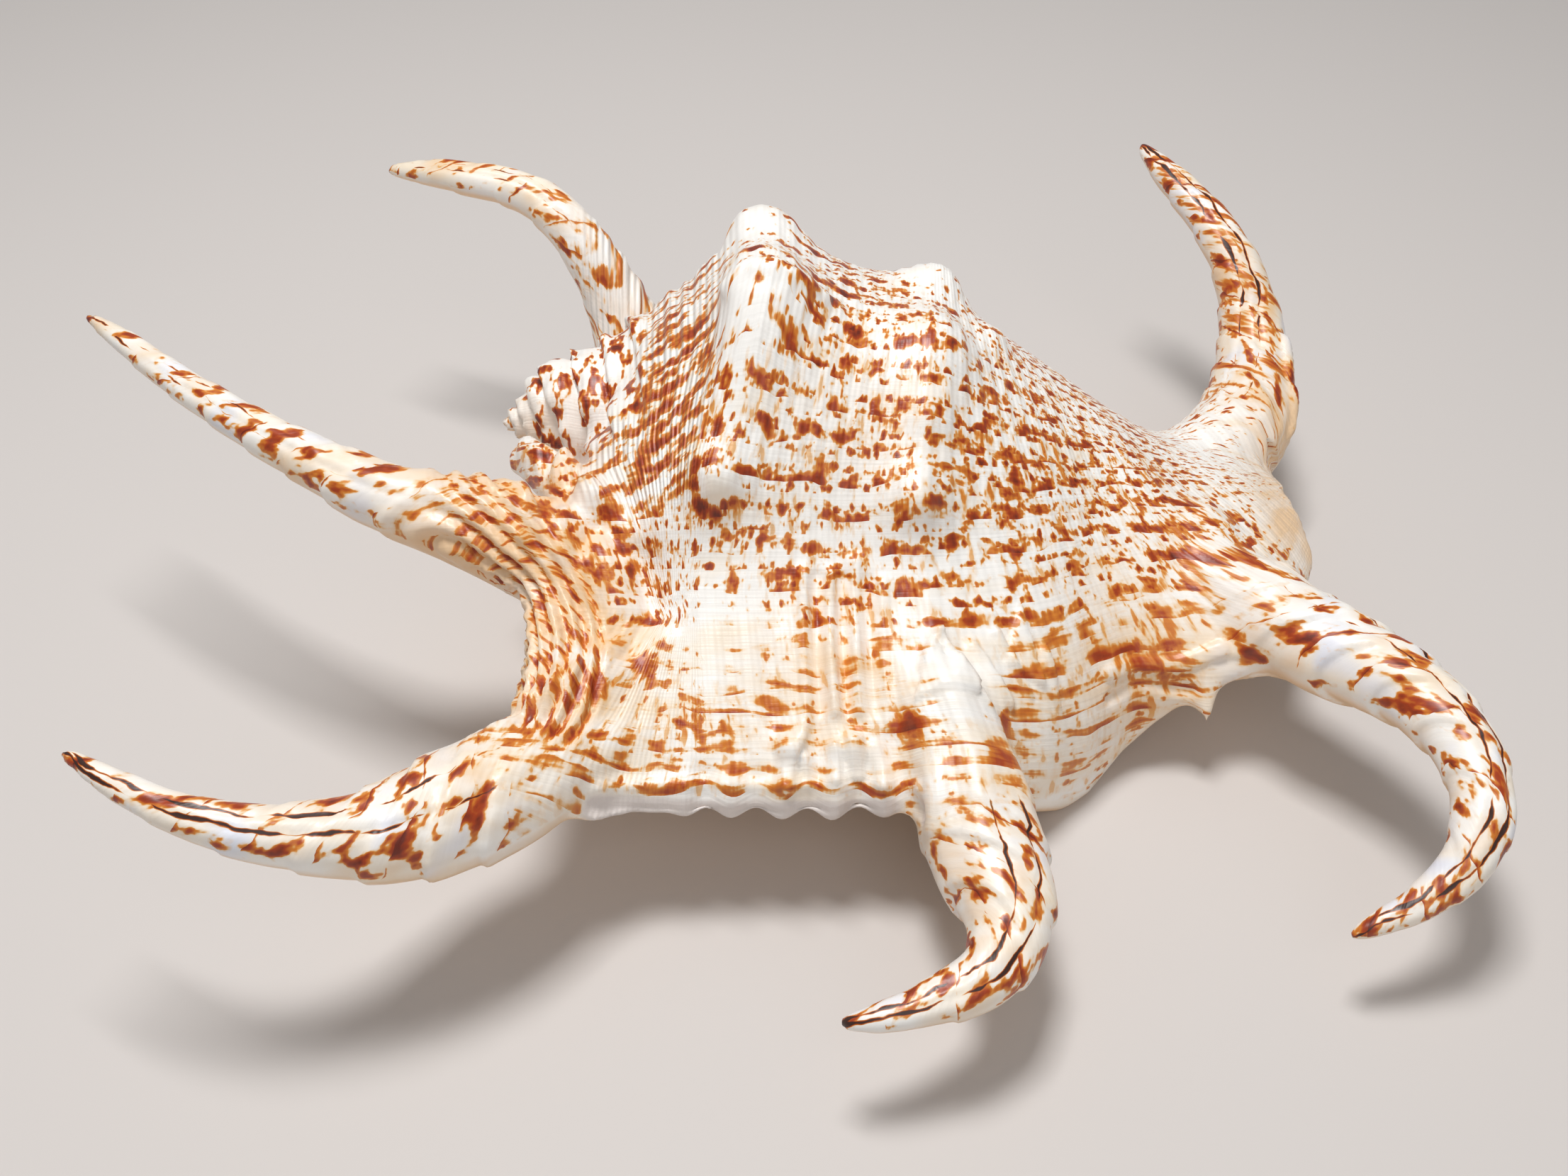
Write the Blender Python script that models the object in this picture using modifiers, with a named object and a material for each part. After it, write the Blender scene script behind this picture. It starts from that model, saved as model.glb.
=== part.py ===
"""Spider conch shell, lying on its aperture with the spire to the left (-X).

The shell grew as one piece, so the model is one closed solid. Its body and flared wing are
a loft through cross-sections, its spire is a turned stepped cone, its five fingers and its
siphonal canal are tapering tubes. All of them are fused in one skin, out of which the knobs
and keels are raised, and the aperture is cut into the underside. Lengths below are in millimetres.
"""
import math

import bpy
import bmesh
import numpy as np
from mathutils import Matrix, Vector

MM = 0.001
OBJECT_NAME = "shell"

# Fineness of the fused skin, and how far it is thinned afterwards
SKIN_VOXEL = 0.85
SKIN_SMOOTHING = 4
BLEND_SMOOTHING = 30
SKIN_TRIANGLES = 8600
# Ellipse in plan inside which the roots of the fingers melt into the body, and the spire,
# which stays sharp up to this share of its length and this far off its cone
BLEND_CENTRE = (24.0, -19.0)
BLEND_REACH = (66.0, 54.0)
SPIRE_BLEND_START = 0.75
SPIRE_MARGIN = 2.5

# Steps that the loft and the tubes are drawn with
LOFT_STEPS_ALONG = 5
LOFT_STEPS_AROUND = 3
TUBE_STEPS = 5

# How far the rounded ends of the loft reach, and the share of the thickness left there
END_REACH = 2.0
END_THICKNESS = 0.35

# Cross-sections of body and wing, from the posterior margin (-X) to the anterior end (+X).
# Each is a place along X and a closed outline of (y, z), which starts at the edge of the
# lip, climbs the wing and the front of the whorl, comes down the far side, and returns
# over the belly and the underside of the wing.
BODY_SECTIONS = [
    (-31, [(-66, 27), (-62, 31), (-56, 33), (-49, 33.5), (-43, 34.5), (-37, 36.5),
           (-31, 38.5), (-26, 40), (-21, 39.5), (-16, 37), (-10, 33), (-5, 29),
           (-1, 26.5), (2, 25), (3, 22.5), (1, 20), (-3, 18.5), (-9, 18),
           (-18, 18), (-32, 21), (-46, 25), (-58, 25)]),
    (-27, [(-69, 22), (-65, 27), (-59, 31), (-53, 33), (-47, 34.5), (-40, 38),
           (-33, 41.5), (-28, 42.5), (-23, 42), (-17, 42.5), (-10, 41), (-2, 38),
           (6, 34), (12, 30), (14, 24), (12, 17), (6, 12), (-4, 10.5),
           (-17, 11.5), (-32, 17), (-46, 22), (-60, 22)]),
    (-20, [(-66.5, 20), (-62, 25), (-56, 29), (-50, 32), (-45, 34), (-40, 37.5),
           (-34, 43), (-28, 45.5), (-22, 47.5), (-15, 50), (-7, 51.5), (2, 51),
           (12, 47), (19, 41), (22, 32), (21, 21), (15, 10), (3, 4),
           (-14, 5), (-30, 12), (-43, 20), (-57, 20)]),
    (-10, [(-66, 19), (-61.5, 24), (-55, 28), (-48, 32), (-42, 35.5), (-36, 40.5),
           (-31, 47.5), (-26, 52.5), (-20, 56.5), (-12, 59.5), (-3, 60), (7, 58),
           (17, 52.5), (25, 44), (29, 33), (27, 19), (19, 6), (5, 1),
           (-13, 2), (-29, 9), (-42, 18.5), (-56, 18.5)]),
    (-2, [(-66, 18.5), (-61.5, 23.5), (-54.5, 28), (-47, 32.5), (-41, 36), (-35, 41.5),
          (-30, 48.5), (-24, 56), (-17, 63.5), (-9, 67), (0, 64.5), (9, 61),
          (19, 57.5), (28, 48.5), (33, 35), (31, 18), (22, 4), (7, -1.2),
          (-12.5, -1.2), (-28, 7), (-42, 18), (-56, 18)]),
    (10, [(-65.5, 18), (-61, 23), (-54, 28), (-46.5, 32), (-40, 35), (-34, 39.5),
          (-29, 45.5), (-23, 52.5), (-16, 58), (-8, 60.5), (0, 59.5), (9, 57.5),
          (19, 52.5), (28, 43), (32, 31), (31, 16), (23, 3), (8, -1.5),
          (-12, -1.8), (-27, 6.5), (-41, 17), (-55, 17.5)]),
    (24, [(-63, 17), (-58.5, 22.5), (-52, 27.5), (-45, 31), (-38, 34.5), (-32, 38.5),
          (-27, 43.5), (-21, 49), (-14, 53.5), (-6, 55), (2, 53.5), (10, 52),
          (19, 47), (27, 38), (31, 28), (30, 14), (22, 2.5), (8, -1.5),
          (-10.5, -1.5), (-25, 5.5), (-39, 15), (-54, 16)]),
    (37, [(-53, 4), (-52.8, 13), (-48.5, 21.5), (-43, 26), (-37, 30), (-31, 33.5),
          (-25, 37.5), (-19, 41.5), (-12, 44.5), (-5, 45.5), (2, 45.5), (9, 43.5),
          (17, 39), (24, 32), (27.5, 24), (27, 13), (20, 3), (8, -0.5),
          (-9, -0.4), (-23, 4.5), (-36, 7), (-47, 1.5)]),
    (45, [(-46, -2), (-46.8, 7), (-44.8, 14.5), (-40.5, 20.5), (-35.5, 25), (-30, 28.8),
          (-24, 32.3), (-17.5, 35.7), (-11, 38.5), (-4, 39.8), (3, 39.3), (10, 37),
          (16.7, 32.6), (22.7, 26), (26, 20), (25.5, 12), (19, 4), (7.5, 1.5),
          (-8, 2.5), (-20, 6), (-32, 5), (-40, -1.5)]),
    (52, [(-40.5, 4), (-39.5, 14), (-36, 20.5), (-31.5, 25), (-27, 28), (-22, 30.5),
          (-17, 32.5), (-12, 34), (-6, 35), (0, 35), (5, 34), (10, 31.5),
          (16, 27), (21, 21.5), (24, 16), (23.5, 10), (18, 5), (7, 3),
          (-7, 4), (-18, 8), (-28, 9), (-36, 4)]),
    (62, [(-39, 14.5), (-37.5, 19), (-34, 22.5), (-29.5, 25), (-25, 26.5), (-20.5, 28),
          (-16, 29), (-11, 29.5), (-6, 29.5), (-1, 29), (4, 28), (9, 26),
          (14, 23), (18, 19), (21, 15), (20, 11), (15, 8), (6, 7),
          (-6, 8), (-16, 11), (-25, 13.5), (-34, 13)]),
    (73, [(-36, 18), (-34.5, 21), (-31, 23.5), (-27, 25), (-22.5, 26), (-18, 26.5),
          (-13.5, 26.5), (-9, 26.5), (-4, 26), (1, 25), (6, 24), (11, 22.5),
          (16, 21), (20, 18.5), (22, 16), (20, 13), (14, 11), (5, 11),
          (-6, 12), (-16, 14), (-24, 15.5), (-32, 16)]),
    (82, [(-18, 18.5), (-17, 20), (-15, 20.5), (-13, 21), (-11, 21.3), (-9, 21.5),
          (-7, 21.5), (-5, 21.5), (-3, 21.3), (-1, 21), (1, 20.5), (4, 20),
          (7, 19.5), (10, 18.5), (12, 17.5), (10, 16), (7, 15.5), (3, 15.3),
          (-2, 15.5), (-7, 15.8), (-11, 16.2), (-15, 17)]),
]

# Spire: a cone on the shell's own axis, stepped where each whorl laps the one before
SPIRE_APEX = (-44.5, 1.6, 34.0)
SPIRE_FOOT = (-8.0, 6.0, 33.5)
SPIRE_FOOT_RADIUS = 24.0
SPIRE_WHORLS = 7
SPIRE_STEP = 1.4
SPIRE_SIDES = 40

# Fingers and canal: points (x, y, z, radius) from the root inside the body to the tip
FINGERS = {
    "finger_1": [(-22, -12, 20, 5), (-22, 6, 17, 8), (-23, 20, 18, 9), (-26, 32.5, 25, 7.6),
                 (-29, 37.4, 32.5, 5.8), (-33, 40.4, 40, 4.8), (-38, 43.5, 46, 4.2),
                 (-45, 47.5, 49.3, 3.6), (-55.5, 50.3, 50.5, 3.0), (-63, 53.2, 50, 2.3),
                 (-70, 56, 49, 1.1)],
    "finger_2": [(-22, -40, 33, 4), (-29, -36, 35, 6.5), (-37, -31.5, 38.5, 7.6),
                 (-44, -30.3, 41, 6.9), (-50, -30, 42.8, 5.8), (-57, -28.7, 44.8, 4.9),
                 (-64, -25.3, 46.5, 4.1), (-74, -19.8, 48.3, 3.3), (-87.5, -10.5, 50.3, 2.6),
                 (-98, -1.8, 51.6, 2.0), (-106, 5, 52, 0.9)],
    "finger_3": [(-20, -56, 25, 3.5), (-29, -61, 26, 6.5), (-37, -67.5, 27, 8.3),
                 (-44, -73.2, 28.6, 7.8), (-50, -77.2, 30.5, 6.2), (-57, -79.8, 33.3, 4.6),
                 (-65, -81, 36.3, 3.4), (-73, -79.8, 38.8, 2.5), (-80, -77, 40.5, 1.9),
                 (-87, -73, 41.5, 0.9)],
    "finger_4": [(20.5, -42, 29, 3), (22, -52, 25.5, 6), (24.2, -62, 20.5, 8.4),
                 (27, -71, 17.8, 8), (28.6, -78, 17.2, 6.6), (28.2, -83.4, 17, 5.2),
                 (25.5, -88, 17, 4.3), (21, -91, 17, 3.5), (16, -93, 17, 2.6),
                 (11, -94.5, 17, 1.9), (6.5, -95, 16.5, 0.9)],
    "finger_5": [(58, -20, 25, 3), (68, -27.5, 23.5, 6), (76, -35.5, 23, 7.2),
                 (82, -41.5, 24, 6.6), (86.5, -47, 25, 5.7), (90.2, -53.5, 25, 5.0),
                 (92.2, -61, 24, 4.4), (91.3, -68.5, 22, 4.1), (88, -73.5, 19, 3.4),
                 (82.5, -76.8, 16, 2.5), (76.5, -78.8, 13.8, 1.7), (73, -80, 12.5, 0.9)],
    "canal": [(58, 4, 18, 5), (69, 10, 18, 8), (78, 18, 19, 8.8), (82.5, 30, 22.5, 7.0),
              (83.2, 40, 28, 5.6), (81.7, 45.5, 33, 4.7), (79.3, 50.5, 37, 4.1),
              (75.3, 57.5, 40.5, 3.5), (70.3, 65, 43.3, 2.7), (66.3, 73, 45, 1.0)],
}

# The thick rounded rim of the posterior lip, from the second finger to the third
POSTERIOR_RIM = [(-24, -30, 39, 3), (-30, -33, 37.5, 4.5), (-31, -41, 34.5, 4.5),
                 (-30.5, -49, 32, 4.5), (-31, -57, 29.5, 5), (-31, -63, 27, 5)]
# The fold with which the lip climbs on to the spire
SPIRE_FOLD = [(-41, -7.5, 34, 2.0), (-37, -12, 35.5, 3.2), (-32, -19.5, 37.5, 3.8),
              (-26, -28.5, 39.5, 3.6), (-21, -34, 39.5, 2.6)]
# A small tooth stands in the notch beside it
LIP_TOOTH = [(60, -34, 17.5, 3), (62, -38.5, 14.5, 2.2), (62.5, -43, 11, 0.7)]

# Knobs and nodules: centre on the skin, height and half-width
KNOBS = [
    ((-3.5, 17, 58), 3.8, 6.5),
    ((-2.5, -9, 67), 2.6, 8.0),
    ((-9.0, -29.5, 49), 2.4, 4.2),
    ((22.5, 11, 52), 3.4, 5.5),
    ((21, -9, 55), 2.6, 6.5),
    ((18, -29, 43), 2.6, 5.2),
    ((31, 2, 50), 1.2, 4.5),
    ((21.5, -53, 27.5), 1.6, 5.0),
    ((0.5, -58.5, 26.5), 2.2, 1.8),
    ((9, -58.5, 26.5), 2.0, 1.8),
    ((64, -16, 28.5), 1.4, 4.0),
    ((74, -27, 26), 1.2, 3.5),
]
# Spiral keels that carry the knobs and run out into the fingers, and the valley beside the
# posterior rim: half-width, and a route of (x, y, z, height), where a valley's is negative
KEELS = [
    (5.0, [(-4, 26, 50, 0.6), (-3.5, 16, 59, 1.8), (-3.5, 4, 62, 2.2), (-4, -12, 66, 2.4),
           (-6.5, -21, 59, 2.2), (-9.5, -30, 48, 1.4), (-12, -37, 40, 0.0)]),
    (5.0, [(23, 22, 43, 0.5), (22.5, 10, 52, 1.4), (21, -5, 54, 1.6), (20, -16, 52, 1.6),
           (18, -30, 42, 1.4), (19, -42, 33, 1.2), (21, -53, 27, 1.2), (23, -61, 22, 0.0)]),
    (5.0, [(44, 10, 36, 0.0), (50, -6, 35, 0.9), (58, -16, 31, 1.2), (67, -23, 27, 1.4),
           (76, -34, 25, 0.0)]),
    (3.0, [(-31, -60, 31, 0.0), (-26, -54, 33, 1.2), (-20, -47, 34.5, 1.0),
           (-16, -43, 35, 0.0)]),
    (2.8, [(-26, -22, 44, 0.0), (-22, -30, 44, -1.5), (-19, -37, 40, -2.0),
           (-17, -43, 36, -0.8)]),
]

# The aperture: a slit along the underside, and the wider hollow of the whorl above it
APERTURE_SLIT = [(-33, -21, 8, 3), (-24, -21.5, 5, 4.5), (-10, -21, 2, 5.4),
                 (8, -20, 1, 5.8), (26, -18, 1.5, 5.6), (42, -14, 3, 5),
                 (55, -7, 6, 4.2), (66, 2, 9, 3.6), (76, 13, 12, 3), (83, 26, 16, 2.2)]
APERTURE_HOLLOW = [(-18, -20, 10, 4.5), (-8, -19.5, 10.5, 7), (8, -18.5, 10, 8.5),
                   (24, -16.5, 9.5, 7.5), (38, -13, 8.5, 5)]

SURFACE_COLOUR = (0.86, 0.66, 0.48, 1.0)
SURFACE_ROUGHNESS = 0.35


def clear_scene():
    """Remove everything that the scene starts with."""
    for scene_object in list(bpy.data.objects):
        bpy.data.objects.remove(scene_object)


def smooth_points(points, steps, closed=False):
    """Catmull-Rom curve through points of any dimension, as a list of tuples."""
    count = len(points)
    spans = count if closed else count - 1
    result = []
    for span in range(spans):
        corner = []
        for offset in (-1, 0, 1, 2):
            index = span + offset
            index = index % count if closed else min(max(index, 0), count - 1)
            corner.append(points[index])
        before, start, end, after = corner
        for step in range(steps):
            t = step / steps
            weights = (-0.5 * t + t * t - 0.5 * t ** 3,
                       1.0 - 2.5 * t * t + 1.5 * t ** 3,
                       0.5 * t + 2.0 * t * t - 1.5 * t ** 3,
                       -0.5 * t * t + 0.5 * t ** 3)
            result.append(tuple(
                weights[0] * a + weights[1] * b + weights[2] * c + weights[3] * d
                for a, b, c, d in zip(before, start, end, after)))
    if not closed:
        result.append(tuple(float(value) for value in points[-1]))
    return result


def pinched(section, beyond):
    """Section with its upper and under side drawn together, to round off an end."""
    x, outline = section
    closed_up = []
    for (y, z), (partner_y, partner_z) in zip(outline, reversed(outline)):
        middle_y = (y + partner_y) / 2
        middle_z = (z + partner_z) / 2
        closed_up.append((middle_y + (y - middle_y) * END_THICKNESS,
                          middle_z + (z - middle_z) * END_THICKNESS))
    return (x + beyond, closed_up)


def loft(name, sections):
    """Closed skin through sections of (x, outline of (y, z)), capped at both ends."""
    sections = ([pinched(sections[0], -END_REACH)] + sections
                + [pinched(sections[-1], END_REACH)])
    rings = []
    for x, outline in sections:
        ring = smooth_points(outline, LOFT_STEPS_AROUND, closed=True)
        rings.append([x] + [value for point in ring for value in point])
    mesh_maker = bmesh.new()
    loops = []
    for row in smooth_points(rings, LOFT_STEPS_ALONG):
        x = row[0]
        pairs = zip(row[1::2], row[2::2])
        loops.append([mesh_maker.verts.new(Vector((x, y, z)) * MM) for y, z in pairs])
    for first, second in zip(loops, loops[1:]):
        count = len(first)
        for index in range(count):
            following = (index + 1) % count
            mesh_maker.faces.new((first[index], first[following],
                                  second[following], second[index]))
    mesh_maker.faces.new(list(reversed(loops[0])))
    mesh_maker.faces.new(loops[-1])
    bmesh.ops.recalc_face_normals(mesh_maker, faces=mesh_maker.faces)
    mesh = bpy.data.meshes.new(name)
    mesh_maker.to_mesh(mesh)
    mesh_maker.free()
    return link(bpy.data.objects.new(name, mesh), work_collection)


def tube(name, points):
    """Tapering round tube along points of (x, y, z, radius), as a closed mesh."""
    curve = bpy.data.curves.new(name, "CURVE")
    curve.dimensions = "3D"
    curve.bevel_depth = MM
    curve.bevel_resolution = 4
    curve.use_fill_caps = True
    spline = curve.splines.new("POLY")
    path = smooth_points(points, TUBE_STEPS)
    spline.points.add(len(path) - 1)
    for place, (x, y, z, radius) in zip(spline.points, path):
        place.co = (x * MM, y * MM, z * MM, 1.0)
        place.radius = radius
    curve_object = link(bpy.data.objects.new(name, curve), work_collection)
    bpy.context.view_layer.update()
    graph = bpy.context.evaluated_depsgraph_get()
    mesh = bpy.data.meshes.new_from_object(curve_object.evaluated_get(graph))
    bpy.data.objects.remove(curve_object)
    mesh_maker = bmesh.new()
    mesh_maker.from_mesh(mesh)
    bmesh.ops.remove_doubles(mesh_maker, verts=mesh_maker.verts, dist=0.00001)
    bmesh.ops.recalc_face_normals(mesh_maker, faces=mesh_maker.faces)
    mesh_maker.to_mesh(mesh)
    mesh_maker.free()
    return link(bpy.data.objects.new(name, mesh), work_collection)


def spire(name):
    """Stepped cone turned about the shell's axis."""
    apex = Vector(SPIRE_APEX)
    foot = Vector(SPIRE_FOOT)
    length = (foot - apex).length
    profile = [(0.0, length)]
    for whorl in range(SPIRE_WHORLS):
        upper = ((whorl + 0.0) / SPIRE_WHORLS) ** 1.25
        lower = ((whorl + 1.0) / SPIRE_WHORLS) ** 1.25
        for share, bulge in ((0.25, 0.6), (0.55, 1.0), (0.85, 0.55), (1.0, -0.35)):
            along = upper + (lower - upper) * share
            swell = SPIRE_STEP * bulge * min(1.0, 0.35 + along)
            profile.append((SPIRE_FOOT_RADIUS * along + swell, length * (1.0 - along)))
    profile.append((0.0, 0.0))
    mesh_maker = bmesh.new()
    places = [mesh_maker.verts.new((radius * MM, 0.0, height * MM))
              for radius, height in profile]
    for upper_place, lower_place in zip(places, places[1:]):
        mesh_maker.edges.new((upper_place, lower_place))
    mesh = bpy.data.meshes.new(name)
    mesh_maker.to_mesh(mesh)
    mesh_maker.free()
    turned = link(bpy.data.objects.new(name, mesh), work_collection)
    screw = turned.modifiers.new("turn", "SCREW")
    screw.axis = "Z"
    screw.steps = SPIRE_SIDES
    screw.render_steps = SPIRE_SIDES
    screw.use_merge_vertices = True
    screw.merge_threshold = 0.00002
    direction = (apex - foot).normalized()
    turned.matrix_world = (Matrix.Translation(foot * MM)
                           @ direction.to_track_quat("Z", "Y").to_matrix().to_4x4())
    return turned


def raise_relief(target):
    """Lift knobs and keels out of the skin, and sink the valley, along its normals."""
    mesh = target.data
    count = len(mesh.vertices)
    places = np.empty(count * 3)
    normals = np.empty(count * 3)
    mesh.vertices.foreach_get("co", places)
    mesh.vertices.foreach_get("normal", normals)
    places = places.reshape(count, 3) / MM
    normals = normals.reshape(count, 3)
    lift = np.zeros(count)
    for centre, height, width in KNOBS:
        squared = ((places - np.array(centre)) ** 2).sum(axis=1)
        lift += height * np.exp(-squared / width ** 2)
    for width, route in KEELS:
        squared = np.full(count, np.inf)
        height = np.zeros(count)
        for step in smooth_points(route, 2 * TUBE_STEPS):
            to_step = ((places - np.array(step[:3])) ** 2).sum(axis=1)
            nearer = to_step < squared
            squared[nearer] = to_step[nearer]
            height[nearer] = step[3]
        lift += height * np.exp(-squared / width ** 2)
    places = (places + normals * lift[:, None]) * MM
    mesh.vertices.foreach_set("co", places.ravel())
    mesh.update()


def blend_group(target):
    """Vertex group of the body and wing, without the free fingers and the spire."""
    group = target.vertex_groups.new(name="body")
    apex = Vector(SPIRE_APEX)
    axis = Vector(SPIRE_FOOT) - apex
    inside = []
    for vertex in target.data.vertices:
        place = vertex.co / MM
        reach_x = (place.x - BLEND_CENTRE[0]) / BLEND_REACH[0]
        reach_y = (place.y - BLEND_CENTRE[1]) / BLEND_REACH[1]
        if reach_x ** 2 + reach_y ** 2 > 1.0:
            continue
        along = (place - apex).dot(axis) / axis.length_squared
        from_axis = (place - apex - axis * along).length
        if along > SPIRE_BLEND_START or from_axis > SPIRE_FOOT_RADIUS * along + SPIRE_MARGIN:
            inside.append(vertex.index)
    group.add(inside, 1.0, "REPLACE")
    return group


def smooth_skin(target, iterations, group_name=""):
    """Even out the skin with a Smooth modifier."""
    smoothing = target.modifiers.new("even_out", "SMOOTH")
    smoothing.factor = 0.5
    smoothing.iterations = iterations
    smoothing.vertex_group = group_name
    applied(target)


def link(scene_object, collection):
    """Put an object in this collection alone, and hand it back."""
    for holder in list(scene_object.users_collection):
        holder.objects.unlink(scene_object)
    collection.objects.link(scene_object)
    return scene_object


def fused(name, pieces):
    """One object holding the meshes of all pieces, at their places."""
    bpy.context.view_layer.update()
    graph = bpy.context.evaluated_depsgraph_get()
    mesh_maker = bmesh.new()
    for piece in pieces:
        piece_mesh = bpy.data.meshes.new_from_object(piece.evaluated_get(graph))
        piece_mesh.transform(piece.matrix_world)
        mesh_maker.from_mesh(piece_mesh)
        bpy.data.meshes.remove(piece_mesh)
    for piece in pieces:
        bpy.data.objects.remove(piece)
    mesh = bpy.data.meshes.new(name)
    mesh_maker.to_mesh(mesh)
    mesh_maker.free()
    return link(bpy.data.objects.new(name, mesh), part_collection)


def as_cutter(cutter):
    """Mark an object as a tool that is not part of the shell."""
    cutter.hide_render = True
    cutter.display_type = "WIRE"
    return link(cutter, cutter_collection)


def cut(target, cutter):
    """Subtract a cutter from the target."""
    boolean = target.modifiers.new("cut_" + cutter.name, "BOOLEAN")
    boolean.operation = "DIFFERENCE"
    boolean.solver = "EXACT"
    boolean.object = cutter


def applied(target):
    """Bake the target's modifiers into its mesh."""
    bpy.context.view_layer.update()
    graph = bpy.context.evaluated_depsgraph_get()
    mesh = bpy.data.meshes.new_from_object(target.evaluated_get(graph))
    target.modifiers.clear()
    old_mesh = target.data
    target.data = mesh
    bpy.data.meshes.remove(old_mesh)


def floor_cutter():
    """Block under the resting plane, which grinds the contact patches flat."""
    bpy.ops.mesh.primitive_cube_add(size=1.0, location=(0.0, 0.0, -0.02))
    block = bpy.context.object
    block.name = "floor_cutter"
    block.scale = (0.4, 0.4, 0.04)
    return as_cutter(block)


def surface_material():
    """Cream and rust calcium carbonate, slightly glossy."""
    material = bpy.data.materials.new("shell_surface")
    material.use_nodes = True
    shader = material.node_tree.nodes["Principled BSDF"]
    shader.inputs["Base Color"].default_value = SURFACE_COLOUR
    shader.inputs["Roughness"].default_value = SURFACE_ROUGHNESS
    shader.inputs["Metallic"].default_value = 0.0
    return material


clear_scene()
part_collection = bpy.data.collections.new("spider_conch_shell")
work_collection = bpy.data.collections.new("work")
cutter_collection = bpy.data.collections.new("cutters")
for new_collection in (part_collection, work_collection, cutter_collection):
    bpy.context.scene.collection.children.link(new_collection)

pieces = [loft("body", BODY_SECTIONS), spire("spire")]
pieces += [tube(finger_name, route) for finger_name, route in FINGERS.items()]
pieces += [tube("posterior_rim", POSTERIOR_RIM), tube("spire_fold", SPIRE_FOLD),
           tube("lip_tooth", LIP_TOOTH)]
shell = fused(OBJECT_NAME, pieces)

remesh = shell.modifiers.new("skin", "REMESH")
remesh.mode = "VOXEL"
remesh.voxel_size = SKIN_VOXEL * MM
applied(shell)
smooth_skin(shell, BLEND_SMOOTHING, blend_group(shell).name)
raise_relief(shell)
smooth_skin(shell, SKIN_SMOOTHING)

for cutter_name, cutter_route in (("slit_cutter", APERTURE_SLIT),
                                  ("hollow_cutter", APERTURE_HOLLOW)):
    cut(shell, as_cutter(tube(cutter_name, cutter_route)))
applied(shell)

thin = shell.modifiers.new("thin_out", "DECIMATE")
thin.decimate_type = "COLLAPSE"
thin.use_collapse_triangulate = True
triangle_count = sum(len(polygon.vertices) - 2 for polygon in shell.data.polygons)
thin.ratio = SKIN_TRIANGLES / triangle_count
cut(shell, floor_cutter())
applied(shell)

corners = [vertex.co.copy() for vertex in shell.data.vertices]
middle_x = (min(corner.x for corner in corners) + max(corner.x for corner in corners)) / 2
middle_y = (min(corner.y for corner in corners) + max(corner.y for corner in corners)) / 2
lowest = min(corner.z for corner in corners)
shell.data.transform(Matrix.Translation((-middle_x, -middle_y, -lowest)))

shell.data.materials.clear()
shell.data.materials.append(surface_material())
shell.data.shade_smooth()
shell.data.set_sharp_from_angle(angle=math.radians(50.0))
bpy.data.collections.remove(work_collection)
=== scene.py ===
# %% [markdown]
# A spider conch shell, dressed for its portrait.
# The animal built this shell in one piece, so the lesson makes one piece too: a fine skin that
# is grown over the plain solid, carved with the ribs, whorls and folds of the real surface, and
# then coloured by patterns that follow the way in which such a shell grows.

# %% Load the frame
import math
import bpy
import numpy as np
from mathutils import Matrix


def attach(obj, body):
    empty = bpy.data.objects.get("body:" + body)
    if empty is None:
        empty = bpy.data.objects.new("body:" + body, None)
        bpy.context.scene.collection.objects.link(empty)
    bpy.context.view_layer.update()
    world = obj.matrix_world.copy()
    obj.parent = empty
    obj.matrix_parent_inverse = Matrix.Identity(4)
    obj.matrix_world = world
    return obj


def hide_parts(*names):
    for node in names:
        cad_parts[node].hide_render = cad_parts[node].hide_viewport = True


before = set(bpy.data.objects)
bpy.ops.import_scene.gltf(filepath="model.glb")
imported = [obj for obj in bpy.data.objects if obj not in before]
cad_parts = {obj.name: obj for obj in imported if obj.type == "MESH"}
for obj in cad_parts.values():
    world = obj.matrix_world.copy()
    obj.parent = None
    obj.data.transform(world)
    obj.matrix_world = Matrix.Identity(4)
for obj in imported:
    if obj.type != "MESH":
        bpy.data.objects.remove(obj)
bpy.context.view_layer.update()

# %% [markdown]
# The shell was drawn in millimetres from a point between its spire and its lip, and only then
# moved so that its resting face has the origin at its middle. The lines below are still given
# from the drawing's point, so one shift brings them to the part.

# %% Units and the shift from the drawing to the part
MM = 0.001
DRAWN_TO_PART = np.array((4.8815, 11.5178, 0.0))


def drawn_places(mesh):
    """The vertices of a mesh, in millimetres from the drawing's point."""
    flat = np.empty(len(mesh.vertices) * 3)
    mesh.vertices.foreach_get("co", flat)
    return flat.reshape(-1, 3) / MM - DRAWN_TO_PART


def put_back(mesh, places):
    """Moves the vertices of a mesh to places given from the drawing's point."""
    mesh.vertices.foreach_set("co", ((places + DRAWN_TO_PART) * MM).ravel())
    mesh.update()


def outward(mesh):
    """The smooth normal at every vertex."""
    flat = np.empty(len(mesh.vertices) * 3)
    mesh.vertices.foreach_get("normal", flat)
    return flat.reshape(-1, 3)


# %% [markdown]
# The solid has a few thousand flat faces. A voxel remesh lays an even net of small squares over
# it, fine enough to carve, and makes one closed surface. A bevel or a subdivision would keep the
# solid's long uneven triangles instead, and every rib carved later would show them.

# %% Grow a fine skin over the solid
SKIN_VOXEL = 0.60 * MM
DOUBLES = 0.00001


def only(piece):
    """Selects one object and nothing else."""
    bpy.ops.object.select_all(action="DESELECT")
    piece.select_set(True)
    bpy.context.view_layer.objects.active = piece


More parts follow.
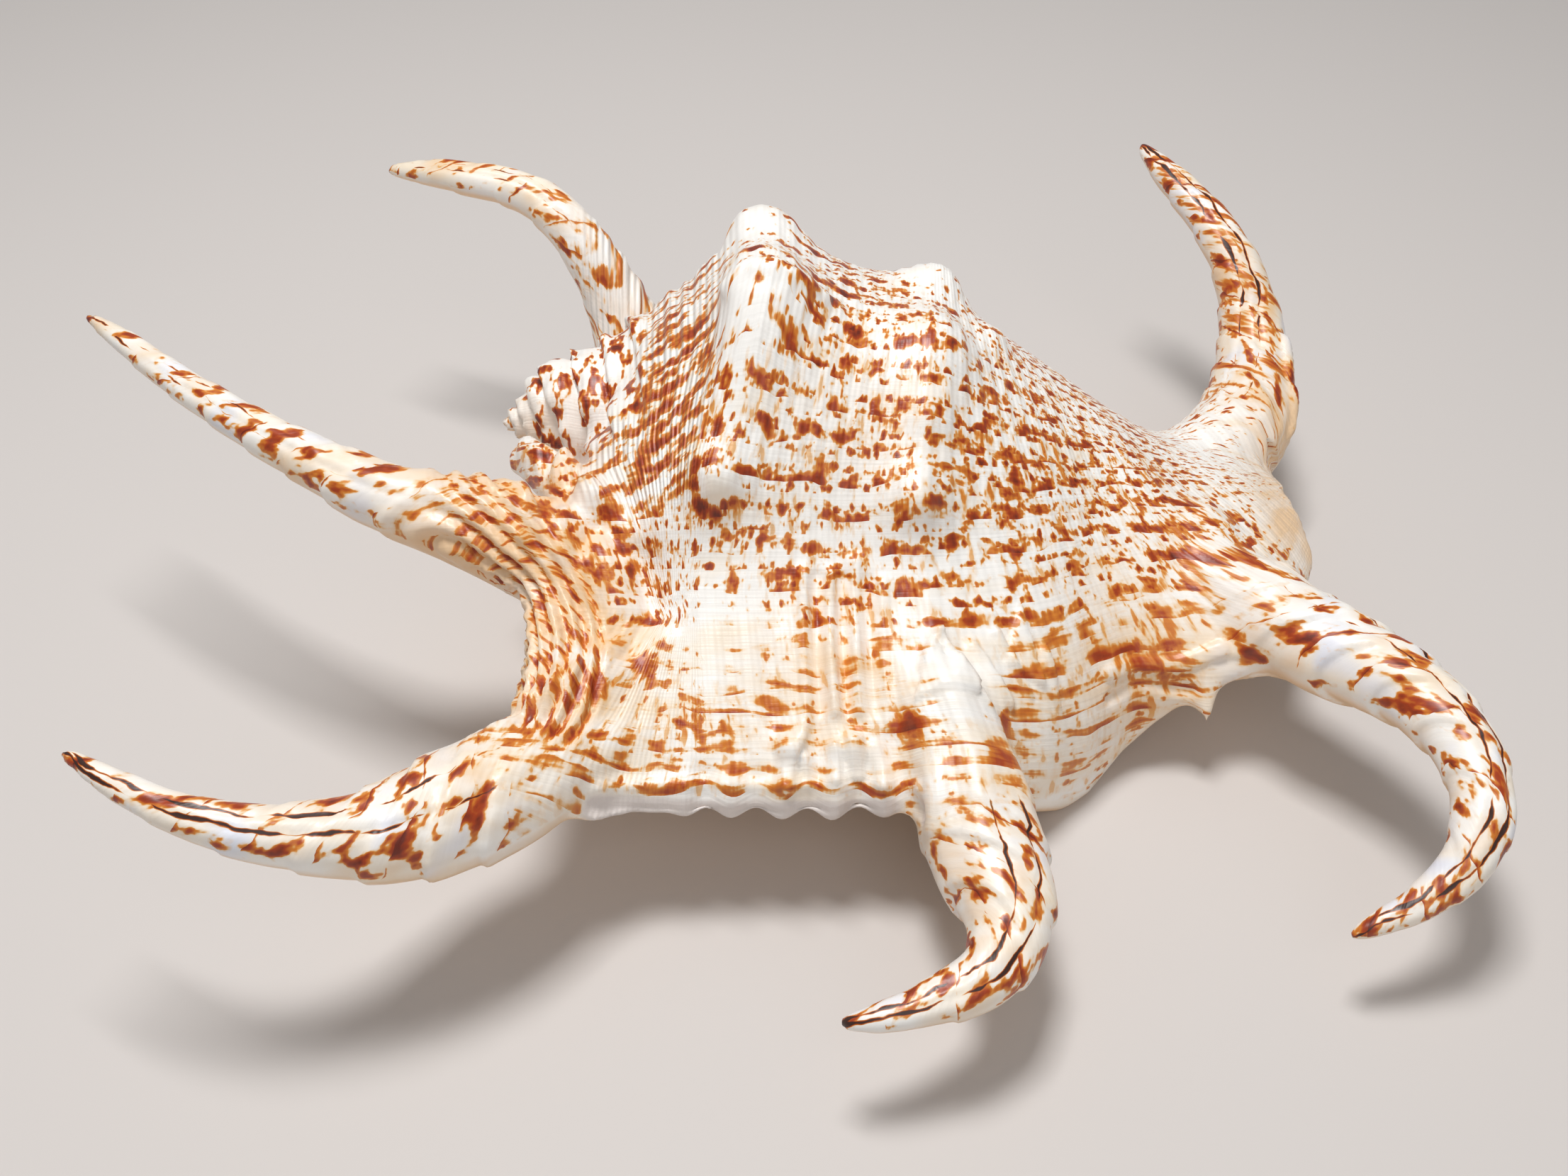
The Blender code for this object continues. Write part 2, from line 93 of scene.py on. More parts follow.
skin = bpy.data.objects.new("spider_conch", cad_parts["shell"].data.copy())
bpy.context.scene.collection.objects.link(skin)
only(skin)
bpy.ops.object.mode_set(mode="EDIT")
bpy.ops.mesh.select_all(action="SELECT")
bpy.ops.mesh.remove_doubles(threshold=DOUBLES)
bpy.ops.object.mode_set(mode="OBJECT")
bpy.ops.object.modifier_add(type="REMESH")
skin.modifiers[-1].mode = "VOXEL"
skin.modifiers[-1].voxel_size = SKIN_VOXEL
bpy.ops.object.modifier_apply(modifier=skin.modifiers[-1].name)
print("skin", len(skin.data.vertices), "vertices")

# %% [markdown]
# The skin still shows the solid's flat faces. Plain smoothing would melt them away, and the
# fingertips with them. So each smoothing step is followed by one that pushes back a little
# further: facets vanish, and the shape keeps its size.

# %% Smooth the facets and keep the size
SMOOTH_ROUNDS = 34
INWARD_STEP = 0.62
OUTWARD_STEP = -0.65


def relaxed(mesh, places, rounds):
    """Places smoothed over the mesh's edges without shrinking."""
    ends = np.empty(len(mesh.edges) * 2, dtype=np.int64)
    mesh.edges.foreach_get("vertices", ends)
    ends = ends.reshape(-1, 2)
    count = len(places)
    both = np.concatenate((ends[:, 0], ends[:, 1]))
    other = np.concatenate((ends[:, 1], ends[:, 0]))
    neighbours = np.bincount(both, minlength=count)[:, None]
    for turn in range(rounds * 2):
        step = INWARD_STEP if turn % 2 == 0 else OUTWARD_STEP
        mean = np.stack(
            [np.bincount(both, weights=places[other, axis], minlength=count) for axis in range(3)],
            axis=1,
        )
        places = places + step * (mean / neighbours - places)
    return places


places = relaxed(skin.data, drawn_places(skin.data), SMOOTH_ROUNDS)
put_back(skin.data, places)
print("smoothed skin spans", np.round(np.ptp(places, axis=0), 1), "mm")

# %% [markdown]
# Everything on a shell follows two directions. The growing edge leaves growth lines behind it,
# and the mantle's folds draw spiral ribs across them. On the body whorl the growth lines are
# counted by their angle about the coil, and on the flat wing by the distance to it. The spiral
# ribs fan out between a few lines that run along the keels and out to the fingers.

# %% Helpers for values that fade and gather
def fade(low, high, value):
    """0 below low, 1 above high and a smooth turn between them."""
    share = np.clip((value - low) / (high - low), 0, 1)
    return share * share * (3 - 2 * share)


def hill(value, width):
    """1 where value is 0, falling off smoothly over a width."""
    return np.exp(-((value / width) ** 2))


def smooth_line(points, steps=6):
    """More points on a smooth curve through the given ones, with any values that they carry."""
    points = np.array(points, dtype=float)
    padded = np.vstack((2 * points[0] - points[1], points, 2 * points[-1] - points[-2]))
    made = []
    for i in range(len(points) - 1):
        before, start, end, after = padded[i : i + 4]
        for step in range(steps):
            t = step / steps
            made.append(
                0.5
                * (
                    2 * start
                    + (end - before) * t
                    + (2 * before - 5 * start + 4 * end - after) * t**2
                    + (3 * start - before - 3 * end + after) * t**3
                )
            )
    made.append(points[-1])
    return np.array(made)


def beside_line(spots, line):
    """For each spot its distance to a line, the distance run along it, and the line's values."""
    nearest = np.full(len(spots), 1e9)
    along = np.zeros(len(spots))
    values = np.zeros((len(spots), line.shape[1]))
    travelled = 0.0
    for start, end in zip(line[:-1], line[1:]):
        span = end[:3] - start[:3]
        length = np.linalg.norm(span)
        share = np.clip((spots - start[:3]) @ span / length**2, 0, 1)
        gap = np.linalg.norm(spots - start[:3] - share[:, None] * span, axis=1)
        nearer = gap < nearest
        nearest[nearer] = gap[nearer]
        along[nearer] = travelled + share[nearer] * length
        values[nearer] = start + share[nearer, None] * (end - start)
        travelled += length
    return nearest, along, values


# %% Growth lines and spiral ribs of the body whorl
COIL_BACK = 6.0
COIL_HEIGHT = 18.0
COIL_REACH = 51.0
GROWTH_PER_TURN = 45.0
WING_ROUNDING = 4.0

# Each line of ribs: its count in millimetres, and (y, x) points from back to front.
RIB_LINES = [
    (-46, [(60, -60), (20, -58), (-20, -52), (-45, -46), (-95, -60)]),
    (-24, [(60, -30), (20, -29), (-22, -25), (-43, -17), (-60, -25), (-95, -36)]),
    (-5, [(60, -2), (20, -4), (-10, -3.5), (-30, -9.5), (-40, -12), (-60, -10), (-95, -14)]),
    (20, [(60, 25), (22, 23), (-5, 21), (-30, 18), (-53, 21), (-61, 24), (-95, 27)]),
    (55, [(60, 38), (10, 44), (-16, 58), (-34, 76), (-47, 87), (-95, 96)]),
    (76, [(60, 56), (18, 62), (4, 70), (-10, 84), (-30, 100), (-95, 125)]),
    (102, [(60, 92), (20, 98), (-10, 120), (-95, 160)]),
]


def growth_count(spots):
    """How far the growing edge had come: large at the back, small at the lip, in millimetres."""
    ahead = COIL_BACK - spots[:, 1]
    above = spots[:, 2] - COIL_HEIGHT
    reach = np.hypot(ahead, above)
    past = (reach - COIL_REACH) / WING_ROUNDING
    wing = np.where(past > 30, past, np.log1p(np.exp(np.minimum(past, 30)))) * WING_ROUNDING
    return GROWTH_PER_TURN * np.arctan2(above, ahead) - wing


def rib_count(spots):
    """Where a spot lies between the lines of ribs, in millimetres across them."""
    x, y = spots[:, 0], spots[:, 1]
    edges = []
    for _, line in RIB_LINES:
        back_to_front = np.array(sorted(line))
        edges.append(np.interp(y, back_to_front[:, 0], back_to_front[:, 1]))
    counts = np.full(len(spots), float(RIB_LINES[0][0]))
    for i in range(len(RIB_LINES) - 1):
        share = np.clip((x - edges[i]) / (edges[i + 1] - edges[i]), 0, 1)
        counts += share * (RIB_LINES[i + 1][0] - RIB_LINES[i][0])
    return counts


print("growth runs over", round(np.ptp(growth_count(places))), "mm")

# %% [markdown]
# Each finger is a horn that the lip folded round itself. Its own line gives every spot on it a
# place along the finger and a side, so that seams and bands can run out to its tip.

# %% The fingers' own lines
FINGERS = {
    "finger_1": [(-22, -12, 20, 5), (-22, 6, 17, 8), (-23, 20, 18, 9), (-26, 32.5, 25, 7.6),
                 (-29, 37.4, 32.5, 5.8), (-33, 40.4, 40, 4.8), (-38, 43.5, 46, 4.2),
                 (-45, 47.5, 49.3, 3.6), (-55.5, 50.3, 50.5, 3.0), (-63, 53.2, 50, 2.3),
                 (-70, 56, 49, 1.1)],
    "finger_2": [(-22, -40, 33, 4), (-29, -36, 35, 6.5), (-37, -31.5, 38.5, 7.6),
                 (-44, -30.3, 41, 6.9), (-50, -30, 42.8, 5.8), (-57, -28.7, 44.8, 4.9),
                 (-64, -25.3, 46.5, 4.1), (-74, -19.8, 48.3, 3.3), (-87.5, -10.5, 50.3, 2.6),
                 (-98, -1.8, 51.6, 2.0), (-106, 5, 52, 0.9)],
    "finger_3": [(-20, -56, 25, 3.5), (-29, -61, 26, 6.5), (-37, -67.5, 27, 8.3),
                 (-44, -73.2, 28.6, 7.8), (-50, -77.2, 30.5, 6.2), (-57, -79.8, 33.3, 4.6),
                 (-65, -81, 36.3, 3.4), (-73, -79.8, 38.8, 2.5), (-80, -77, 40.5, 1.9),
                 (-87, -73, 41.5, 0.9)],
    "finger_4": [(20.5, -42, 29, 3), (22, -52, 25.5, 6), (24.2, -62, 20.5, 8.4),
                 (27, -71, 17.8, 8), (28.6, -78, 17.2, 6.6), (28.2, -83.4, 17, 5.2),
                 (25.5, -88, 17, 4.3), (21, -91, 17, 3.5), (16, -93, 17, 2.6),
                 (11, -94.5, 17, 1.9), (6.5, -95, 16.5, 0.9)],
    "finger_5": [(58, -20, 25, 3), (68, -27.5, 23.5, 6), (76, -35.5, 23, 7.2),
                 (82, -41.5, 24, 6.6), (86.5, -47, 25, 5.7), (90.2, -53.5, 25, 5),
                 (92.2, -61, 24, 4.4), (91.3, -68.5, 22, 4.1), (88, -73.5, 19, 3.4),
                 (82.5, -76.8, 16, 2.5), (76.5, -78.8, 13.8, 1.7), (73, -80, 12.5, 0.9)],
    "canal": [(58, 4, 18, 5), (69, 10, 18, 8), (78, 18, 19, 8.8), (82.5, 30, 22.5, 7),
              (83.2, 40, 28, 5.6), (81.7, 45.5, 33, 4.7), (79.3, 50.5, 37, 4.1),
              (75.3, 57.5, 40.5, 3.5), (70.3, 65, 43.3, 2.7), (66.3, 73, 45, 1.0)],
}

# How many millimetres from each tip the finger becomes its own horn, and the turn's length.
FINGER_ROOTS = {
    "finger_1": (44, 14), "finger_2": (74, 16), "finger_3": (62, 14),
    "finger_4": (48, 12), "finger_5": (82, 22), "canal": (72, 18),
}
FINGER_GAP = 200.0


def finger_places(spots):
    """How much each spot is finger, and its side, height and run from the tip on that finger."""
    belongs = np.zeros(len(spots))
    place = np.zeros((len(spots), 3))
    for number, (name, points) in enumerate(FINGERS.items()):
        line = smooth_line(points)[::-1]
        gap, run, values = beside_line(spots, line)
        root, turn = FINGER_ROOTS[name]
        here = (1 - fade(root - turn, root, run)) * (1 - fade(1.35, 2.0, gap / values[:, 3]))
        ahead = np.gradient(line[:, :3], axis=0)
        tangent = beside_line(spots, np.hstack((line[:, :3], ahead)))[2][:, 3:]
        tangent /= np.linalg.norm(tangent, axis=1)[:, None]
        upward = np.array((0, 0, 1.0)) - tangent * tangent[:, 2:]
        upward /= np.linalg.norm(upward, axis=1)[:, None]
        sideways = np.cross(tangent, upward)
        off = spots - values[:, :3]
        mine = here > belongs
        belongs[mine] = here[mine]
        place[mine, 0] = np.sum(off * sideways, axis=1)[mine]
        place[mine, 1] = np.sum(off * upward, axis=1)[mine]
        place[mine, 2] = run[mine] + number * FINGER_GAP
    return belongs, place


# %% [markdown]
# The spire is a cone of older whorls. Each turn leaves a seam, and the seams widen steadily from
# the tip. A spot's place in its whorl is the count of turns along the cone, less its angle.

# %% The spire's whorls
SPIRE_APEX = np.array((-44.5, 1.6, 34.0))
SPIRE_FOOT = np.array((-8.0, 6.0, 33.5))
SPIRE_SEAMS = [-1.2, 0.3, 1.6, 3.2, 5.6, 8.8, 13.0, 17.0, 21.5, 27.0, 33.0]
SPIRE_FACING = math.radians(47)
SPIRE_BACK = math.radians(45)


def spire_places(spots):
    """Run from the tip, distance from the axis, angle, and the share of the whorl passed."""
    axis = (SPIRE_FOOT - SPIRE_APEX) / np.linalg.norm(SPIRE_FOOT - SPIRE_APEX)
    top = np.array((0, 0, 1.0)) - axis * axis[2]
    top /= np.linalg.norm(top)
    front = np.cross(axis, top)
    off = spots - SPIRE_APEX
    run = off @ axis
    turned = np.arctan2(off @ front, off @ top)
    reach = np.hypot(off @ front, off @ top)
    seams = np.interp(run, SPIRE_SEAMS, np.arange(len(SPIRE_SEAMS)))
    whorl = seams - (turned - SPIRE_FACING) / (2 * math.pi)
    return run, reach, turned, whorl


# %% [markdown]
# Now the carving. All relief is a height in millimetres along the surface's own normal, added up
# from ribs, whorls, folds and knobs, so each one can be read and changed by itself. A fold or a
# groove is a short line of points on the shell, with a height and a width.

# %% Folds, grooves and knobs drawn as lines
# Each line: its height and its width in millimetres, and the points that it runs through.
FRONT_KNOB = [
    (0.8, 1.5, [(-8, -12, 67.5), (-5.2, -11.3, 70), (-1.4, -11.2, 70.4), (2.5, -10.8, 68),
                (5.5, -9, 64.5)]),
    (-0.5, 1.6, [(-7, -7.5, 67), (-2, -6.5, 68.5), (4, -5, 65), (8, -5, 61)]),
]
NODULES = [
    (0.5, 1.6, [(-9.6, -32.7, 50.8), (-9.7, -33.4, 49.2)]),
    (1.1, 2.8, [(18.3, -29.4, 47.6), (18.3, -31, 46.6)]),
    (0.9, 3.0, [(20.4, -19, 52.5), (20.4, -21, 52)]),
    (1.0, 2.6, [(31, 1, 49.5), (31.5, 3, 49)]),
    (0.8, 2.4, [(64, -16, 29), (66, -17.5, 28.5)]),
    (1.1, 2.0, [(73.5, -27, 26.5), (75, -28.5, 26)]),
    (0.9, 1.8, [(79, -34, 28), (80, -35.5, 28)]),
]
SPIRE_FOLD = [
    (1.4, 1.7, [(-39.5, -8.2, 36.3), (-36.3, -12.7, 38.7), (-34.1, -14.5, 39.4), (-31.5, -17.8, 40.5),
                (-28.7, -23.2, 42.1), (-26.4, -26.4, 42.7), (-24.6, -28.9, 42.7)]),
    (1.3, 1.5, [(-38.4, -10, 37.4), (-37.6, -13, 38.8)]),
    (1.5, 1.6, [(-32.4, -17, 40.2), (-33.0, -20, 41.4)]),
    (1.8, 1.9, [(-27.6, -26, 42.6), (-26.6, -28, 42.8)]),
    (0.9, 1.2, [(-36, -14, 39), (-37.5, -22, 43), (-36.4, -29, 45.8), (-35.6, -36, 43.5)]),
    (0.9, 1.3, [(-28.5, -28, 42.6), (-30.3, -31, 42.9), (-31.3, -37, 41)]),
    (-1.2, 1.0, [(-34.3, -15.5, 39.8), (-34.7, -20, 41.5), (-34.2, -28, 44), (-33.4, -33, 43.8)]),
    (-1.2, 1.0, [(-29.6, -22.6, 42.0), (-31.8, -25.5, 42.6), (-32.5, -31.6, 44.3)]),
    (-0.9, 0.9, [(-25.6, -31, 42.5), (-27.5, -35, 41.5), (-30, -40, 38.5)]),
]
VALLEY = [
    (-1.3, 1.7, [(-26, -31.5, 42.2), (-22.6, -34.6, 41), (-19.9, -36, 39.1), (-18.9, -39.7, 36.3),
                 (-18.5, -43, 35), (-21, -48.5, 33.8)]),
    (-0.6, 0.9, [(-22, -44, 35.4), (-25, -51, 34.4), (-31, -58.5, 33)]),
    (1.1, 1.5, [(-23, -48, 34.4), (-27, -53, 35), (-31.5, -57.5, 34.6), (-37, -63, 33.6)]),
]
SCAR = [
    (0.8, 0.8, [(21, -44.5, 33.2), (19.2, -48.5, 32.3), (18, -54.5, 29.5)]),
    (0.8, 0.8, [(21, -44.5, 33.2), (23, -48, 32.6), (25.6, -52, 31)]),
    (-0.7, 1.2, [(22, -48.5, 32.5), (22.5, -53, 31)]),
    (0.9, 0.9, [(29.5, -42, 30.5), (32.4, -46, 27.5), (35, -48.5, 24.5)]),
    (1.0, 1.1, [(26, -45, 31), (29, -48.5, 28), (31.4, -50.5, 25.3)]),
    (0.6, 0.9, [(36.4, -42, 27), (38.8, -45, 24.2)]),
]
LIP_TEETH = [
    (1.3, 1.5, [(0.4, -59.2, 25.8), (0.4, -62.4, 22.8)]),
    (0.7, 1.0, [(3.0, -60, 25), (3.2, -62.4, 22.8)]),
    (1.1, 1.2, [(6.7, -58.8, 25.8), (6.7, -61.6, 23.2)]),
    (1.3, 1.4, [(9.4, -58.0, 25.8), (9.8, -61, 23.2)]),
    (0.7, 1.4, [(12.0, -58.8, 25.2), (13.4, -62, 22.2)]),
]
MIDDLE_FOLDS = [
    (1.2, 0.9, [(2.7, -37.6, 38), (2.7, -42, 35), (2.7, -46.7, 32.4), (3.1, -54.5, 28), (2, -58, 26.4)]),
    (1.3, 0.9, [(6.5, -37.2, 37.6), (6.4, -42, 35), (6.4, -46.5, 32.3), (7, -54.4, 27.9)]),
    (1.1, 0.9, [(9.9, -35.6, 38.3), (9.8, -41, 35), (9.7, -46.4, 32.1), (9.9, -54.3, 27.8)]),
    (0.8, 0.9, [(13.6, -38, 36.5), (13.4, -44, 33.5), (13.6, -50, 30.5), (14.2, -56, 27)]),
    (-0.8, 0.9, [(4.6, -38, 37.6), (4.5, -46, 32.6), (5, -54, 28)]),
    (-0.8, 0.9, [(8.2, -38, 37.2), (8.1, -46, 32.4), (8.5, -54, 28)]),
    (-0.7, 0.9, [(11.8, -38, 37), (11.6, -46, 32.2), (12, -54, 28)]),
]

# The edge at which the lip turns down, and the middle of the pale band below it.
LIP_EDGE = [(-24.6, -65.4, 25.5), (-18.7, -63.5, 23.4), (-12.5, -62.9, 23), (-6.3, -62.8, 22.8),
            (0, -62.9, 22.3), (6.3, -62.6, 22.2), (12.6, -62.2, 22), (17.5, -64.5, 24)]
LIP_BAND = [(-24.6, -67.2, 23.1), (-18.7, -65.9, 21), (-12.5, -65.7, 20.3), (-6.3, -65.4, 19.6),
            (0, -65.3, 19.6), (6.3, -65.1, 19.5), (12.6, -64.6, 19.2), (17.5, -67, 22)]
LOWER_LOBE = [
    (0.7, 1.4, [(47, -39, 19.5), (52, -37.6, 19.6), (57.5, -37, 19), (64, -35.6, 21)]),
    (-0.7, 1.3, [(48, -41.2, 16.5), (53, -39.6, 16.8), (60, -38.6, 15.5)]),
]
RIGHT_EDGE = [
    (1.0, 1.1, [(83, 44, 33), (86, 36, 29.5), (87.3, 28.6, 27), (87.2, 22, 24.6), (86.8, 16, 22),
                (86.4, 12.5, 20)]),
]

# Plates that the lip left when it broke and healed: a rise, and the corners in x and y. The
# last one is the inner layer that shows below the canal's thick edge.
PLATES = [
    (0.7, [(20, -45.2), (17.2, -55.2), (26.8, -53.8)]),
    (0.5, [(23.4, -46.5), (22.2, -52.5), (29.4, -55)]),
    (0.7, [(33.3, -36.2), (36.6, -46.8), (30.4, -45.6)]),
    (0.5, [(36.5, -39.5), (39.8, -48), (35, -46)]),
    (-0.9, [(80.5, 11), (95, 11), (95, -10), (83, -8)]),
]
PLATE_EDGE = 0.5


def drawn_relief(spots, *groups, flat=False):
    """The height that all the lines of the groups add, rounded or flat-topped with steep sides."""
    height = np.zeros(len(spots))
    for group in groups:
        for rise, width, points in group:
            line = smooth_line(points, 3)
            reach = width * 2.6
            low, high = line.min(axis=0) - reach, line.max(axis=0) + reach
            near = np.flatnonzero(np.all((spots > low) & (spots < high), axis=1))
            if len(near):
                gap = beside_line(spots[near], line)[0]
                shape = 1 - fade(0.5 * width, 1.2 * width, gap) if flat else hill(gap, width)
                height[near] += rise * shape
    return height


def plate_relief(spots):
    """The height that the healed plates add, each with a sharp edge."""
    height = np.zeros(len(spots))
    for rise, corners in PLATES:
        corners = np.array(corners, dtype=float)
        middle = corners.mean(axis=0)
        inside = np.full(len(spots), 1e9)
        for start, end in zip(corners, np.roll(corners, -1, axis=0)):
            across = np.array((start[1] - end[1], end[0] - start[0])) / np.linalg.norm(end - start)
            across *= np.sign((middle - start) @ across)
            inside = np.minimum(inside, (spots[:, :2] - start) @ across)
        height += rise * fade(0, PLATE_EDGE, inside)
    return height


# %% The bay beside the spire, with its ribs along the edge
BAY_EDGE = [(-60, -24, 45), (-53, -29, 43.5), (-46, -34.5, 41), (-40.5, -37, 37.5), (-36.8, -42, 34.6),
            (-35.2, -48.3, 33.5), (-35.4, -54.4, 33), (-37.2, -58.6, 32.5), (-41, -63, 31.5),
            (-48, -68, 31)]
BAY_RIB_SPACING = 1.9
BAY_REACH = 13.0


def bay_places(spots):
    """How much a spot belongs to the bay's saddle, its distance from the edge and the run along."""
    line = smooth_line(BAY_EDGE, 4)
    gap, run, _ = beside_line(spots, line)
    share = 1 - fade(BAY_REACH - 3.5, BAY_REACH, gap)
    inside = 1 - fade(-25, -20.5, spots[:, 0] + 0.12 * (spots[:, 1] + 45))
    ahead = 1 - fade(-27, -20, spots[:, 1])
    behind = fade(-66, -61, spots[:, 1] + 0.3 * (spots[:, 0] + 30))
    return share * inside * ahead * behind * fade(26, 29, spots[:, 2]), gap, run


# %% Say which region every spot belongs to
SCALLOP_SPACING = 6.8
SCALLOP_START = -0.3
SCALLOP_HEIGHT = 0.8
CONE_FOOT = 3.5
CONE_FLARE = 0.9
SADDLE_ON_FINGER = 0.25


def waves(count, spacing):
    """Swings between -1 and 1, and peaks wherever the count is a multiple of the spacing."""
    return np.cos(2 * math.pi * count / spacing)


def region_shares(spots, steep):
    """How much each spot belongs to every region of the shell."""
    finger, place = finger_places(spots)
    run, reach, turned, whorl = spire_places(spots)
    cone = reach / np.maximum(run * CONE_FLARE + CONE_FOOT, 1)
    spire = (1 - fade(19, 25, run)) * (1 - fade(1.0, 1.3, cone)) * (1 - finger)
    count = growth_count(spots)
    ribs = rib_count(spots)
    body = (1 - finger) * (1 - spire)
    bay, bay_gap, bay_run = bay_places(spots)
    bay *= (1 - spire) * (1 - (1 - SADDLE_ON_FINGER) * finger)
    ramp = fade(-30, -26, ribs) * (1 - fade(-11, -7, ribs)) * fade(24, 30, count) * body
    lip_gap = beside_line(spots, smooth_line(LIP_BAND, 2))[0]
    scallop = waves(spots[:, 0] - SCALLOP_START, SCALLOP_SPACING)
    scallop *= (1 - fade(3.5, 8, lip_gap)) * fade(-17, -10, spots[:, 0])
    count = count + SCALLOP_HEIGHT * scallop
    return {
        "lip": 1 - fade(1.5, 2.3, lip_gap), "scallop": scallop,
        "finger": finger, "finger_place": place, "spire": spire, "whorl": whorl, "ramp": ramp,
        "spire_run": run, "spire_turned": turned, "body": body, "growth": count, "ribs": ribs,
        "dorsum": fade(7, 13, count) * body, "wing": (1 - fade(7, 13, count)) * body,
        "under": 1 - fade(-0.5, -0.1, steep), "bay": bay, "bay_gap": bay_gap, "bay_run": bay_run,
    }


normals = outward(skin.data)
at = region_shares(places, normals[:, 2])
print("spots on the fingers", int(np.sum(at["finger"] > 0.5)), "of", len(places))

# %% Steps and beads of the spire
STEP_RISE = 0.16
STEP_FALL = 0.85
STEP_MEAN = 0.45
SPIRE_BEADS = 9
SPIRE_BEAD_SHARE = 0.30
SPIRE_BACK_HEIGHT = 2.6
SPIRE_BACK_RUN = 8.5
SPIRE_BACK_LENGTH = 5.5


def spire_relief(at):
    """Each whorl steps up at its seam, carries beads, and the far side is fuller."""
    whorl = at["whorl"] - np.floor(at["whorl"])
    step = fade(0.0, STEP_RISE, whorl) * (1 - STEP_FALL * fade(0.30, 1.0, whorl))
    beads = np.sin(at["spire_turned"] * SPIRE_BEADS + at["spire_run"]) * hill(whorl - 0.25, 0.2)
    size = np.clip(0.7 + at["spire_run"] * 0.09, 0.5, 1.9)
    back = fade(-0.4, 0.7, np.cos(at["spire_turned"] + SPIRE_BACK))
    back *= hill(at["spire_run"] - SPIRE_BACK_RUN, SPIRE_BACK_LENGTH)
    return size * (step * (1 + SPIRE_BEAD_SHARE * beads) - STEP_MEAN) + SPIRE_BACK_HEIGHT * back


# %% Overlapping folds and seams of the fingers
FINGER_FOLD_RUN = 8.5
FINGER_FOLD_SLANT = 1.1
FINGER_FOLD_SHARE = 0.11
FINGER_FOLD_MEAN = 0.45
SEAM_ANGLES = (0.02, 0.62)
SEAM_WIDTH = 0.55
SEAM_DEPTH = 0.28


def finger_relief(place):
    """Slanted folds that overlap towards the tip, and a groove under each dark seam."""
    side, up, run = place.T
    thick = np.hypot(side, up)
    angle = np.arctan2(side, up)
    own_run = run - np.floor(run / FINGER_GAP) * FINGER_GAP
    bent = FINGER_FOLD_SLANT * side + 0.8 * np.sin(own_run / 7)
    fold = (own_run + bent) / FINGER_FOLD_RUN
    fold = fold - np.floor(fold)
    folded = fade(0.0, 0.12, fold) * (1 - fold) - FINGER_FOLD_MEAN
    height = folded * FINGER_FOLD_SHARE * thick * fade(3, 12, own_run)
    for seam_angle in SEAM_ANGLES:
        groove = hill((angle - seam_angle) * thick, SEAM_WIDTH)
        height -= SEAM_DEPTH * groove * fade(1.2, 2.6, thick)
    return height


# %% Carve all the relief
RIB_SPACING = 2.3
RIB_HEIGHT = 0.09
RIB_SWELL = 0.05
ROW_SPACING = 5.0
WING_RIB_SPACING = 4.1
WING_RIB_HEIGHT = 0.10
MIDDLE_RIB_HEIGHT = 0.20
RAMP_RIB_SPACING = 1.75
RAMP_RIB_HEIGHT = 0.16
BAY_RIB_HEIGHT = 0.55
BAY_BEAD_SPACING = 3.1
BAY_BEAD_HEIGHT = 0.45
BAY_BEAD_WIDTH = 2.0
LIP_FOLDS = [(0.8, 1.0, LIP_EDGE), (-0.8, 1.3, LIP_BAND)]


def relief(spots, at):
    """The height of all carving at every vertex, in millimetres."""
    above = 1 - at["under"]
    middle = fade(-14, -4, spots[:, 0]) * (1 - fade(30, 40, spots[:, 0]))
    ribs = RIB_HEIGHT + RIB_SWELL * waves(at["growth"], ROW_SPACING)
    height = at["dorsum"] * above * ribs * waves(at["ribs"], RIB_SPACING)
    ribs = (WING_RIB_HEIGHT + MIDDLE_RIB_HEIGHT * middle) * waves(at["ribs"], WING_RIB_SPACING)
    height += at["wing"] * above * ribs * (1 - at["bay"])
    height += at["ramp"] * RAMP_RIB_HEIGHT * waves(at["ribs"], RAMP_RIB_SPACING)
    beads = waves(at["bay_run"], BAY_BEAD_SPACING) * hill(at["bay_gap"], BAY_BEAD_WIDTH)
    saddle = BAY_RIB_HEIGHT * waves(at["bay_gap"], BAY_RIB_SPACING) + BAY_BEAD_HEIGHT * beads
    height += at["bay"] * above * saddle
    height += at["spire"] * spire_relief(at)
    height += at["finger"] * finger_relief(at["finger_place"])
    height += SCALLOP_HEIGHT * at["scallop"] * (1 - at["finger"])
    height += plate_relief(spots) * above
    height += drawn_relief(spots, LIP_FOLDS, FRONT_KNOB, NODULES, SPIRE_FOLD, VALLEY, MIDDLE_FOLDS)
    height += drawn_relief(spots, SCAR, LIP_TEETH, LOWER_LOBE, RIGHT_EDGE, flat=True)
    return height


carved = relief(places, at)
places = places + normals * carved[:, None]
places[:, 2] = np.maximum(places[:, 2], 0)
put_back(skin.data, places)
print("carving from", round(carved.min(), 2), "to", round(carved.max(), 2), "mm")

# %% [markdown]
# A piece may hold fewer than 200,000 triangles. Collapsing the skin's shortest edges brings it
# below its budget of 197,000 triangles, and keeps small triangles where the carving is sharp.

# %% Thin the skin to its budget
TRIANGLE_BUDGET = 197000


def triangle_count(mesh):
    mesh.calc_loop_triangles()
    return len(mesh.loop_triangles)


before = triangle_count(skin.data)
if before > TRIANGLE_BUDGET:
    only(skin)
    bpy.ops.object.modifier_add(type="DECIMATE")
    skin.modifiers[-1].ratio = TRIANGLE_BUDGET / before
    bpy.ops.object.modifier_apply(modifier=skin.modifiers[-1].name)
only(skin)
bpy.ops.object.shade_smooth()
print("triangles", before, "->", triangle_count(skin.data))
